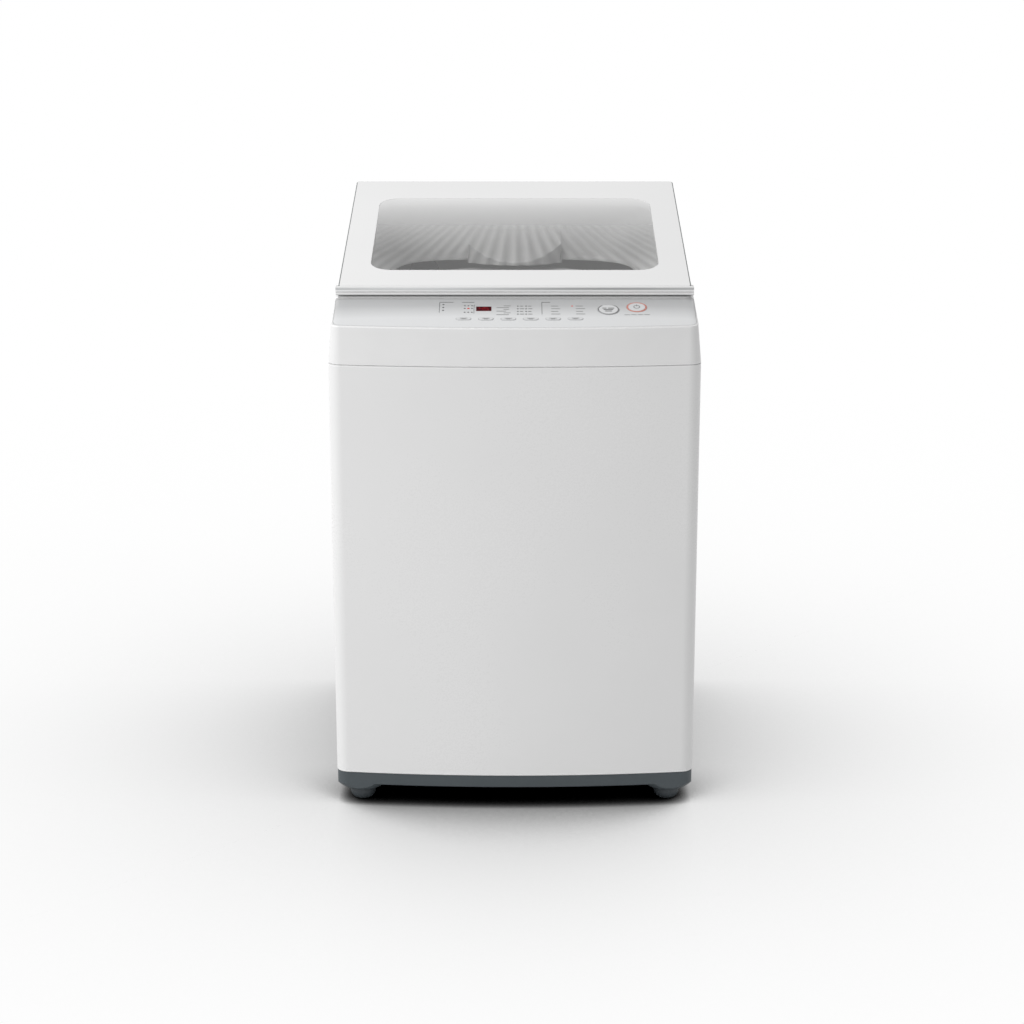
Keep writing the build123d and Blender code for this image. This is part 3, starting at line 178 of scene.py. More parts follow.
def grey(level: float, warmth: float = 0.0) -> Colour:
    """A grey of a linear level, a little warmer or cooler.

    Args:
        level: How light it is, from 0 to 1.
        warmth: How much redder and less blue it is.

    Returns:
        The colour.
    """
    return (level * (1 + warmth), level, level * (1 - warmth))


def share_of(value: float, low: float, high: float) -> float:
    """The share of the way from one value to another that a third has come, from 0 to 1."""
    return min(max((value - low) / (high - low), 0.0), 1.0)


class Axis(Enum):
    """An axis of the machine, as a direction."""

    X = (1.0, 0.0, 0.0)
    Y = (0.0, 1.0, 0.0)
    Z = (0.0, 0.0, 1.0)


class Pick(Enum):
    """What is selected in edit mode, by Blender's name for it."""

    POINTS = "VERT"
    EDGES = "EDGE"
    FACES = "FACE"


class Val:
    """A number that changes over a surface: a socket that Python's operators work on."""

    def __init__(self, graph: "Graph", socket: bpy.types.NodeSocket) -> None:
        """Wraps a socket of a graph."""
        self.graph = graph
        self.socket = socket

    def _math(self, operation: str, first: Number, second: Number) -> "Val":
        """Adds a Math node.

        Args:
            operation: The node's operation.
            first: Its first value.
            second: Its second value.

        Returns:
            Its result.
        """
        node = self.graph.node("ShaderNodeMath", {"operation": operation}, {0: first, 1: second})
        return Val(self.graph, node.outputs[0])

    def __add__(self, other: Number) -> "Val":
        """The sum."""
        return self._math("ADD", self, other)

    __radd__ = __add__

    def __sub__(self, other: Number) -> "Val":
        """The difference."""
        return self._math("SUBTRACT", self, other)

    def __rsub__(self, other: Number) -> "Val":
        """The difference, the other way round."""
        return self._math("SUBTRACT", other, self)

    def __mul__(self, other: Number) -> "Val":
        """The product."""
        return self._math("MULTIPLY", self, other)

    __rmul__ = __mul__

    def __truediv__(self, other: Number) -> "Val":
        """The quotient."""
        return self._math("DIVIDE", self, other)

    def __pow__(self, other: Number) -> "Val":
        """The power."""
        return self._math("POWER", self, other)

    def __gt__(self, other: Number) -> "Val":
        """1 where it is greater, and 0 elsewhere."""
        return self._math("GREATER_THAN", self, other)

    def most(self, other: Number) -> "Val":
        """The greater of the two."""
        return self._math("MAXIMUM", self, other)

    def folded(self, step: float) -> "Val":
        """Goes up and down between 0 and the step."""
        return self._math("PINGPONG", self, step)

    def sine(self) -> "Val":
        """The sine."""
        return self._math("SINE", self, 0.0)

    def ramp(self, low: float, high: float, smooth: bool = True) -> "Val":
        """Runs from 0 at one value to 1 at another.

        Args:
            low: Where it is 0.
            high: Where it is 1.
            smooth: Whether it eases in and out.

        Returns:
            The share of the way.
        """
        settings = {"interpolation_type": "SMOOTHSTEP" if smooth else "LINEAR"}
        sockets = {"Value": self, "From Min": low, "From Max": high}
        return Val(self.graph, self.graph.node("ShaderNodeMapRange", settings, sockets).outputs[0])


Feed = Union[float, Colour, Val, bpy.types.NodeSocket]


class Graph:
    """The nodes of a material or of the world, added one at a time."""

    edge_samples = 8
    edge_range = (0.005, 0.06)
    round_samples = 6

    def __init__(self, owner: Owner) -> None:
        """Clears the nodes of what they belong to.

        Args:
            owner: The material or world.
        """
        owner.use_nodes = True
        self.owner = owner
        self.tree = owner.node_tree
        self.tree.nodes.clear()

    def node(
        self,
        kind: str,
        settings: Optional[dict[str, Any]] = None,
        sockets: Optional[dict[Union[int, str], Feed]] = None,
    ) -> bpy.types.Node:
        """Adds a node.

        Args:
            kind: The node's type.
            settings: Its settings, which are set first.
            sockets: The values or links of its inputs.

        Returns:
            The node.
        """
        made = self.tree.nodes.new(kind)
        for key, value in (settings or {}).items():
            setattr(made, key, value)
        for key, value in (sockets or {}).items():
            self._feed(made.inputs[key], value)
        return made

    def _feed(self, socket: bpy.types.NodeSocket, value: Feed) -> None:
        """Links a value to an input, or sets it there.

        Args:
            socket: The input.
            value: A wrapped or bare output to link, or a number, colour or vector to set.
        """
        if isinstance(value, Val):
            self.tree.links.new(value.socket, socket)
        elif isinstance(value, bpy.types.NodeSocket):
            self.tree.links.new(value, socket)
        elif socket.type == "RGBA":
            socket.default_value = (*value, 1.0)
        else:
            socket.default_value = value

    def place(self) -> bpy.types.NodeSocket:
        """The place on the object, in metres."""
        return self.node("ShaderNodeTexCoord").outputs["Object"]

    def along(self, axis: Axis) -> Val:
        """The place on the object along one axis."""
        node = self.node("ShaderNodeSeparateXYZ", {}, {0: self.place()})
        return Val(self, node.outputs[axis.name])

    def own(self, name: str) -> Val:
        """The number of that name that the piece's points were given."""
        return Val(self, self.node("ShaderNodeAttribute", {"attribute_name": name}).outputs["Fac"])

    def edges(self, radius: float) -> Val:
        """1 along sharp edges, to about a radius from them, and 0 elsewhere.

        Args:
            radius: How far from an edge it reaches, in metres.

        Returns:
            The share of edge.
        """
        soft = self.node("ShaderNodeBevel", {"samples": self.edge_samples}, {"Radius": radius}).outputs[0]
        hard = self.node("ShaderNodeNewGeometry").outputs["Normal"]
        dot = self.node("ShaderNodeVectorMath", {"operation": "DOT_PRODUCT"}, {0: soft, 1: hard})
        return (1.0 - Val(self, dot.outputs["Value"])).ramp(*self.edge_range)

    def facing(self, axis: Axis) -> Val:
        """How far the surface faces along an axis, from -1 to 1.

        Args:
            axis: The axis.

        Returns:
            How far it faces that way.
        """
        normal = self.node("ShaderNodeNewGeometry").outputs["Normal"]
        node = self.node("ShaderNodeSeparateXYZ", {}, {0: normal})
        return Val(self, node.outputs[axis.name])

    def stretched(self, stretch: Sequence[float]) -> bpy.types.NodeSocket:
        """The place, scaled by a factor along each axis."""
        sockets = {"Vector": self.place(), "Scale": tuple(stretch)}
        return self.node("ShaderNodeMapping", {}, sockets).outputs[0]

    def noise(self, scale: float, detail: float, stretch: Sequence[float] = (1.0, 1.0, 1.0)) -> Val:
        """Soft noise from 0 to 1.

        Args:
            scale: Its spots in a metre.
            detail: How many finer layers it has.
            stretch: How much finer it is along each axis.

        Returns:
            The noise.
        """
        sockets = {"Vector": self.stretched(stretch), "Scale": scale, "Detail": detail}
        return Val(self, self.node("ShaderNodeTexNoise", {}, sockets).outputs[0])

    def cells(self, scale: float) -> Val:
        """A different number from 0 to 1 in each of a crowd of cells."""
        node = self.node("ShaderNodeTexVoronoi", {}, {"Vector": self.place(), "Scale": scale})
        return Val(self, self.node("ShaderNodeSeparateColor", {}, {0: node.outputs["Color"]}).outputs[0])

    def mixed(self, share: Number, first: Feed, second: Feed) -> bpy.types.NodeSocket:
        """A colour between two.

        Args:
            share: How much there is of the second.
            first: The first colour.
            second: The second colour.

        Returns:
            The mixed colour.
        """
        node = self.node("ShaderNodeMix", {"data_type": "RGBA"}, {0: share, 6: first, 7: second})
        return node.outputs[2]

    def bumped(self, height: Val, depth: float, strength: float, edge: float = 0.0) -> bpy.types.NodeSocket:
        """A surface's normal, raised by a height.

        Args:
            height: The height, from 0 to 1.
            depth: How far a height of 1 stands up, in metres.
            strength: How strongly it shows.
            edge: The radius that sharp edges seem to be rounded to, in metres.

        Returns:
            The normal.
        """
        sockets: dict[Union[int, str], Feed] = {"Height": height, "Distance": depth, "Strength": strength}
        if edge:
            rounding = self.node("ShaderNodeBevel", {"samples": self.round_samples}, {"Radius": edge})
            sockets["Normal"] = rounding.outputs[0]
        return self.node("ShaderNodeBump", {}, sockets).outputs[0]

    def finish(self, sockets: dict[str, Feed]) -> None:
        """Ends the material in a surface with those inputs."""
        self.end(self.node("ShaderNodeBsdfPrincipled", {}, sockets).outputs[0])

    def end(self, shader: bpy.types.NodeSocket) -> None:
        """Ends the material in a shader."""
        self.node("ShaderNodeOutputMaterial", {}, {"Surface": shader})


@dataclass(frozen=True)
class Finish:
    """What a surface looks like.

    A pair is a noise's spots in a metre and finer layers, a range's start and end, or a bump's depth in
    metres and strength. A mottle is how much a noise changes the roughness by.
    """

    name: str
    colour: Colour
    roughness: float

    def lay(self, graph: Graph) -> None:
        """Lays the finish's nodes in a graph."""
        raise NotImplementedError

    def toned(self, factor: float, lift: float = 0.0) -> Colour:
        """The colour, darker or paler by a factor and lifted by a grey."""
        return tuple(min(1.0, channel * factor + lift) for channel in self.colour)

    def mottled(self, *layers: tuple[float, Val]) -> Number:
        """The roughness, which noise raises and lowers.

        Args:
            *layers: Each noise, from 0 to 1, after how much it changes the roughness by.

        Returns:
            The roughness over the surface.
        """
        level: Number = self.roughness
        for share, noise in layers:
            if share:
                level = level + share * (noise - 0.5)
        return level

    def material(self) -> bpy.types.Material:
        """The finish's material, made once."""
        return made_material(self)


Coats = dict[Finish, tuple[str, ...]]


@lru_cache(maxsize=None)
def made_material(finish: Finish) -> bpy.types.Material:
    """Makes the material of a finish.

    Args:
        finish: The finish.

    Returns:
        Its material.
    """
    graph = Graph(bpy.data.materials.new(finish.name))
    finish.lay(graph)
    return graph.owner


@dataclass(frozen=True)
class Enamel(Finish):
    """Gloss paint on sheet steel: nearly flat, with a faint orange peel and a clear coat, and a painted highlight
    along sharp edges if asked.
    """

    peel: float = 0.000006
    peel_strength: float = 0.5
    peel_noise: Pair = (420.0, 1.0)
    peel_mottle: float = 0.03
    cloud_noise: Pair = (3.0, 3.0)
    cloud_range: Pair = (0.3, 0.7)
    cloud_mottle: float = 0.06
    cloud_tone: float = 0.975
    coat: float = 0.35
    coat_roughness: float = 0.06
    edge: float = 0.0
    painted_edge_highlight: float = 0.0
    gloss: float = 0.5

    def lay(self, graph: Graph) -> None:
        """Lays the paint's nodes.

        Args:
            graph: The graph that gets the nodes.
        """
        cloud = graph.noise(*self.cloud_noise)
        fine = graph.noise(*self.peel_noise)
        tone = graph.mixed(cloud.ramp(*self.cloud_range), self.colour, self.toned(self.cloud_tone))
        # painted highlight: sharp edges go pale towards white
        if self.painted_edge_highlight:
            tone = graph.mixed(self.painted_edge_highlight * graph.edges(self.edge), tone, WHITE)
        graph.finish(
            {
                "Base Color": tone,
                "Specular IOR Level": self.gloss,
                "Roughness": self.mottled((self.cloud_mottle, cloud), (self.peel_mottle, fine)),
                "Coat Weight": self.coat,
                "Coat Roughness": self.coat_roughness,
                "Normal": graph.bumped(fine, self.peel, self.peel_strength, self.edge),
            }
        )


@dataclass(frozen=True)
class Moulded(Finish):
    """Moulded plastic: a spark-eroded grain, faint flow clouds, sharp edges that look rounded, and a painted highlight
    along them if asked.
    """

    grain: float = 900.0
    grain_detail: float = 2.0
    grain_mottle: float = 0.06
    grain_strength: float = 0.6
    depth: float = 0.00002
    cloud: float = 0.03
    flow_noise: Pair = (7.0, 4.0)
    flow_range: Pair = (0.25, 0.75)
    flow_mottle: float = 0.08
    coat_roughness: float = 0.08
    edge: float = 0.0
    coat: float = 0.0
    painted_edge_highlight: float = 0.0
    gloss: float = 0.5

    def tone(self, graph: Graph, flow: Val) -> Feed:
        """The plastic's colour over the surface, with a painted highlight along its sharp edges if asked.

        Args:
            graph: The graph that gets the nodes.
            flow: The noise of the plastic's flow.

        Returns:
            The colour.
        """
        darker = self.toned(1 - 2 * self.cloud)
        tone = graph.mixed(flow.ramp(*self.flow_range), self.colour, darker)
        # painted highlight: sharp edges go pale towards white
        if self.painted_edge_highlight:
            tone = graph.mixed(self.painted_edge_highlight * graph.edges(self.edge), tone, WHITE)
        return tone

    def lay(self, graph: Graph) -> None:
        """Lays the plastic's nodes.

        Args:
            graph: The graph that gets the nodes.
        """
        flow = graph.noise(*self.flow_noise)
        grain = graph.noise(self.grain, self.grain_detail)
        graph.finish(
            {
                "Base Color": self.tone(graph, flow),
                "Specular IOR Level": self.gloss,
                "Roughness": self.mottled((self.flow_mottle, flow), (self.grain_mottle, grain)),
                "Coat Weight": self.coat,
                "Coat Roughness": self.coat_roughness,
                "Normal": graph.bumped(grain, self.depth, self.grain_strength, self.edge),
            }
        )


@dataclass(frozen=True)
class MouldedWithPaintedShadow(Moulded):
    """Moulded plastic with a painted shadow: a darker strip along the sill under the lid's handle."""

    # how dark the painted shadow on the sill is
    strip: float = 0.42
    front: float = -0.1915
    back: float = -0.184
    low: float = 0.752
    front_fade: float = 0.001
    back_fade: float = 0.004

    def tone(self, graph: Graph, flow: Val) -> Feed:
        """The plastic's colour over the surface, with the painted shadow on the sill.

        Args:
            graph: The graph that gets the nodes.
            flow: The noise of the plastic's flow.

        Returns:
            The colour.
        """
        y = graph.along(Axis.Y)
        near = y.ramp(self.front - self.front_fade, self.front)
        near = near * (1.0 - y.ramp(self.back, self.back + self.back_fade))
        # painted shadow: the sill under the handle's lip is darkened towards black
        share = self.strip * near * (graph.along(Axis.Z) > self.low)
        return graph.mixed(share, super().tone(graph, flow), BLACK)


@dataclass(frozen=True)
class Ribbed(Moulded):
    """Moulded plastic in painted shade: darker between its ribs and towards its right side."""

    measured: ClassVar[str] = "ridge"
    # the painted shade between the ribs, as a share of the colour
    hollow: float = 0.74
    # painted shade that grows towards the right side, for each metre
    lean: float = 1.0
    flow_shade: float = 0.06

    def tone(self, graph: Graph, flow: Val) -> Feed:
        """The plastic's colour over the surface, with its painted shade.

        Args:
            graph: The graph that gets the nodes.
            flow: The noise of the plastic's flow.

        Returns:
            The colour.
        """
        tone = graph.mixed(graph.own(self.measured), self.toned(self.hollow), self.colour)
        # painted shade towards the right side, together with a random flow tone
        shade = self.flow_shade * flow + self.lean * graph.along(Axis.X).most(0.0)
        return graph.mixed(shade, tone, BLACK)


@dataclass(frozen=True)
class Crested(Moulded):
    """Moulded plastic that is paler on the crest round an upright axis: painted light on its top over a body in
    painted shade.
    """

    crest: Colour = (0.62, 0.62, 0.62)
    level: float = 0.734
    reach: float = 0.204
    axis_y: float = 0.014
    fade: float = 0.002
    flow_shade: float = 0.1
    grain_mottle: float = 0.0

    def tone(self, graph: Graph, flow: Val) -> Feed:
        """The plastic's colour over the surface, with the painted light on its crest.

        Args:
            graph: The graph that gets the nodes.
            flow: The noise of the plastic's flow.

        Returns:
            The colour.
        """
        x, y, z = (graph.along(axis) for axis in Axis)
        off = y - self.axis_y
        near = 1.0 - ((x * x + off * off) ** 0.5).ramp(self.reach, self.reach + self.fade)
        # painted light: the crest, which faces up, is pale
        tone = graph.mixed(near * z.ramp(self.level, self.level + self.fade), self.colour, self.crest)
        return graph.mixed(self.flow_shade * flow, tone, BLACK)


@dataclass(frozen=True)
class Silver(Finish):
    """Silver paint or film: fine flakes in a clear coat, darker towards one edge in painted shadow, with a painted
    reflection across it and painted shade along sharp edges if asked.
    """

    # how dark the painted shadow gets from low to high along the depth
    shade: float = 0.0
    low: float = 0.0
    high: float = 1.0
    metallic: float = 0.35
    edge: float = 0.0
    # how dark the painted shade along sharp edges is
    outline: float = 0.0
    white: float = 0.0
    # painted reflection: a wave of darker and paler across the piece, its length and its palest place
    sheen: float = 0.0
    sheen_length: float = 0.58
    sheen_crest: float = -0.153
    edge_shade_width: float = 0.002
    white_tone: Colour = (0.95, 0.95, 0.95)
    white_fade: float = 0.0006
    flakes: float = 2600.0
    flake_share: float = 0.05
    flake_mottle: float = 0.08
    flake_bump: Pair = (0.000004, 0.4)
    cloud_noise: Pair = (6.0, 3.0)
    cloud_mottle: float = 0.06
    coat: float = 0.2
    coat_roughness: float = 0.15

    def lay(self, graph: Graph) -> None:
        """Lays the paint's nodes.

        Args:
            graph: The graph that gets the nodes.
        """
        flake = graph.cells(self.flakes)
        cloud = graph.noise(*self.cloud_noise)
        turn = (graph.along(Axis.X) - self.sheen_crest) * (2 * pi / self.sheen_length)
        # painted shadow: darker from low to high in depth, as under the lid's lip
        fade = self.shade * graph.along(Axis.Y).ramp(self.low, self.high, False)
        # painted reflection: a wave across the piece darkens it wherever it is darker than the painted shadow
        fade = fade.most(self.sheen * (0.5 - 0.5 * (turn + pi / 2).sine()))
        base = graph.mixed(fade, self.colour, BLACK)
        # painted shade: sharp edges are darkened, as in the grooves round the panel and its key holes
        if self.outline:
            base = graph.mixed(self.outline * graph.edges(self.edge_shade_width), base, BLACK)
        metallic: Number = self.metallic
        if self.white:
            bare = graph.along(Axis.Z).ramp(self.white - self.white_fade, self.white)
            base = graph.mixed(bare, self.white_tone, base)
            metallic = self.metallic * bare
        graph.finish(
            {
                "Base Color": graph.mixed(self.flake_share * flake, base, WHITE),
                "Metallic": metallic,
                "Roughness": self.mottled((self.flake_mottle, flake), (self.cloud_mottle, cloud)),
                "Coat Weight": self.coat,
                "Coat Roughness": self.coat_roughness,
                "Normal": graph.bumped(flake, *self.flake_bump, self.edge),
            }
        )


@dataclass(frozen=True)
class Brushed(Finish):
    """Bare metal with fine lines along one axis, or round the machine."""

    lines: Sequence[float] = (8.0, 8.0, 900.0)
    line_noise: Pair = (1.0, 4.0)
    line_range: Pair = (0.3, 0.7)
    line_share: float = 0.6
    line_mottle: float = 0.14
    line_bump: Pair = (0.000006, 0.5)
    cloud_noise: Pair = (12.0, 3.0)
    cloud_share: float = 0.25
    cloud_mottle: float = 0.08
    dull: float = 0.8

    def lay(self, graph: Graph) -> None:
        """Lays the metal's nodes.

        Args:
            graph: The graph that gets the nodes.
        """
        line = graph.noise(*self.line_noise, self.lines)
        cloud = graph.noise(*self.cloud_noise)
        worn = self.line_share * line.ramp(*self.line_range) + self.cloud_share * cloud
        graph.finish(
            {
                "Base Color": graph.mixed(worn, self.colour, self.toned(self.dull)),
                "Metallic": 1.0,
                "Roughness": self.mottled((self.line_mottle, line), (self.cloud_mottle, cloud)),
                "Normal": graph.bumped(line, *self.line_bump),
            }
        )


@dataclass(frozen=True)
class Zinc(Finish):
    """Galvanised sheet: flat crystals, each with its own shade."""

    crystal: float = 130.0
    crystal_share: float = 0.7
    crystal_mottle: float = 0.14
    cloud_noise: Pair = (5.0, 3.0)
    cloud_share: float = 0.3
    cloud_mottle: float = 0.05
    dull: float = 0.92
    metallic: float = 0.55
    dent_noise: Pair = (160.0, 2.0)
    dent_bump: Pair = (0.00003, 0.4)

    def lay(self, graph: Graph) -> None:
        """Lays the sheet's nodes.

        Args:
            graph: The graph that gets the nodes.
        """
        shade = graph.cells(self.crystal)
        cloud = graph.noise(*self.cloud_noise)
        worn = self.crystal_share * shade + self.cloud_share * cloud
        graph.finish(
            {
                "Base Color": graph.mixed(worn, self.colour, self.toned(self.dull)),
                "Metallic": self.metallic,
                "Roughness": self.mottled((self.crystal_mottle, shade), (self.cloud_mottle, cloud)),
                "Normal": graph.bumped(graph.noise(*self.dent_noise), *self.dent_bump),
            }
        )


@dataclass(frozen=True)
class Cast(Finish):
    """Die-cast alloy with a pebbled skin and dark hollows."""

    pebble_noise: Pair = (260.0, 4.0)
    pebble_range: Pair = (0.35, 0.65)
    pebble_share: float = 0.5
    pebble_mottle: float = 0.25
    pebble_bump: Pair = (0.0002, 0.5)
    cloud_noise: Pair = (18.0, 3.0)
    cloud_share: float = 0.4
    hollow: float = 0.62
    metallic: float = 0.9

    def lay(self, graph: Graph) -> None:
        """Lays the casting's nodes.

        Args:
            graph: The graph that gets the nodes.
        """
        pebble = graph.noise(*self.pebble_noise)
        cloud = graph.noise(*self.cloud_noise)
        worn = self.pebble_share * pebble.ramp(*self.pebble_range) + self.cloud_share * cloud
        graph.finish(
            {
                "Base Color": graph.mixed(worn, self.colour, self.toned(self.hollow)),
                "Metallic": self.metallic,
                "Roughness": self.mottled((self.pebble_mottle, pebble)),
                "Normal": graph.bumped(pebble, *self.pebble_bump),
            }
        )


@dataclass(frozen=True)
class Rubber(Finish):
    """Rubber with a dusty bloom."""

    bloom_noise: Pair = (30.0, 5.0)
    bloom_range: Pair = (0.4, 0.8)
    bloom_gain: float = 1.6
    bloom_lift: float = 0.01
    bloom_mottle: float = 0.15
    grain_noise: Pair = (700.0, 2.0)
    grain_bump: Pair = (0.00004, 0.6)

    def lay(self, graph: Graph) -> None:
        """Lays the rubber's nodes.

        Args:
            graph: The graph that gets the nodes.
        """
        bloom = graph.noise(*self.bloom_noise)
        pale = self.toned(self.bloom_gain, self.bloom_lift)
        graph.finish(
            {
                "Base Color": graph.mixed(bloom.ramp(*self.bloom_range), self.colour, pale),
                "Roughness": self.mottled((self.bloom_mottle, bloom)),
                "Normal": graph.bumped(graph.noise(*self.grain_noise), *self.grain_bump),
            }
        )


@dataclass(frozen=True)
class Board(Finish):
    """A lacquered circuit board with copper tracks under the lacquer."""

    track: float = 0.0024
    track_start: float = 0.62
    lane_noise: Pair = (60.0, 0.0)
    copper_gain: float = 1.8
    copper_mottle: float = 0.1
    copper_bump: Pair = (0.00005, 0.7)
    lacquer: float = 0.6

    def lay(self, graph: Graph) -> None:
        """Lays the board's nodes.

        Args:
            graph: The graph that gets the nodes.
        """
        x = graph.along(Axis.X).folded(self.track) / self.track
        y = graph.along(Axis.Y).folded(self.track) / self.track
        lane = graph.noise(*self.lane_noise) > 0.5
        copper = (lane * (x > self.track_start)).most((1.0 - lane) * (y > self.track_start))
        graph.finish(
            {
                "Base Color": graph.mixed(copper, self.colour, self.toned(self.copper_gain)),
                "Roughness": self.roughness + self.copper_mottle * copper,
                "Coat Weight": self.lacquer,
                "Normal": graph.bumped(copper, *self.copper_bump),
            }
        )


@dataclass(frozen=True)
class Ink(Finish):
    """Printed ink: nearly flat, with a faint screen-print mottle."""

    glow: float = 0.0
    gloss: float = 0.25
    screen_noise: Pair = (1500.0, 2.0)
    screen_range: Pair = (0.35, 0.75)
    screen_gain: float = 1.15
    screen_lift: float = 0.02
    screen_mottle: float = 0.1

    def lay(self, graph: Graph) -> None:
        """Lays the ink's nodes.

        Args:
            graph: The graph that gets the nodes.
        """
        screen = graph.noise(*self.screen_noise)
        pale = self.toned(self.screen_gain, self.screen_lift)
        tone = graph.mixed(screen.ramp(*self.screen_range), self.colour, pale)
        graph.finish(
            {
                "Base Color": tone,
                "Roughness": self.mottled((self.screen_mottle, screen)),
                "Specular IOR Level": self.gloss,
                "Emission Color": tone,
                "Emission Strength": self.glow,
            }
        )


@dataclass(frozen=True)
class Lens(Finish):
    """A dark lens over the lamps of a display, with a coloured edge."""

    rim: Colour = (0.5, 0.02, 0.02)
    rim_range: Pair = (0.5, 0.9)
    cloud_noise: Pair = (200.0, 2.0)
    cloud_tone: float = 0.6
    cloud_mottle: float = 0.04
    gloss: float = 0.02

    def lay(self, graph: Graph) -> None:
        """Lays the lens's nodes.

        Args:
            graph: The graph that gets the nodes.
        """
        cloud = graph.noise(*self.cloud_noise)
        side = 1.0 - graph.facing(Axis.Z).ramp(*self.rim_range)
        tone = graph.mixed(cloud, self.colour, self.toned(self.cloud_tone))
        graph.finish(
            {
                "Base Color": graph.mixed(side, tone, self.rim),
                "Roughness": self.mottled((self.cloud_mottle, cloud)),
                "Specular IOR Level": self.gloss,
            }
        )


@dataclass(frozen=True)
class ClearGlass(Finish):
    """Clear flat glass: seen through, with the room's reflection on its upper side only."""

    tint: Colour = (0.95, 0.95, 0.947)
    gain: float = 0.9
    # the painted reflection: where its white dots start and end, their greatest share and their curve
    fade_start: float = -0.056
    fade_end: float = 0.195
    fade: float = 0.74
    fade_power: float = 1.4
    dots: Colour = (0.98, 0.98, 0.98)
    index: float = 1.5
    smear: float = 0.1
    smear_noise: Pair = (9.0, 3.0)

    def lay(self, graph: Graph) -> None:
        """Lays the glass's nodes, with white dots that fade out from the rear as a painted reflection.

        Args:
            graph: The graph that gets the nodes.
        """
        outside = 1.0 - Val(graph, graph.node("ShaderNodeNewGeometry").outputs["Backfacing"])
        gloss = Val(graph, graph.node("ShaderNodeFresnel", {}, {"IOR": self.index}).outputs[0])
        smear = graph.noise(*self.smear_noise)
        mirror = graph.node("ShaderNodeBsdfGlossy", {}, {"Color": self.colour, "Roughness": self.roughness})
        clear = graph.node("ShaderNodeBsdfTransparent", {}, {"Color": self.tint})
        dots = graph.node("ShaderNodeBsdfDiffuse", {}, {"Color": self.dots})
        # painted reflection: diffuse white dots over the clear glass, thickest at the rear
        rear = graph.along(Axis.Y).ramp(self.fade_start, self.fade_end, False)
        painted_reflection = rear**self.fade_power * self.fade * outside
        behind = graph.node("ShaderNodeMixShader", {}, {0: painted_reflection, 1: clear.outputs[0], 2: dots.outputs[0]})
        share = gloss * outside * (self.gain + self.smear * (smear - 0.5))
        mixed = graph.node("ShaderNodeMixShader", {}, {0: share, 1: behind.outputs[0], 2: mirror.outputs[0]})
        graph.end(mixed.outputs[0])


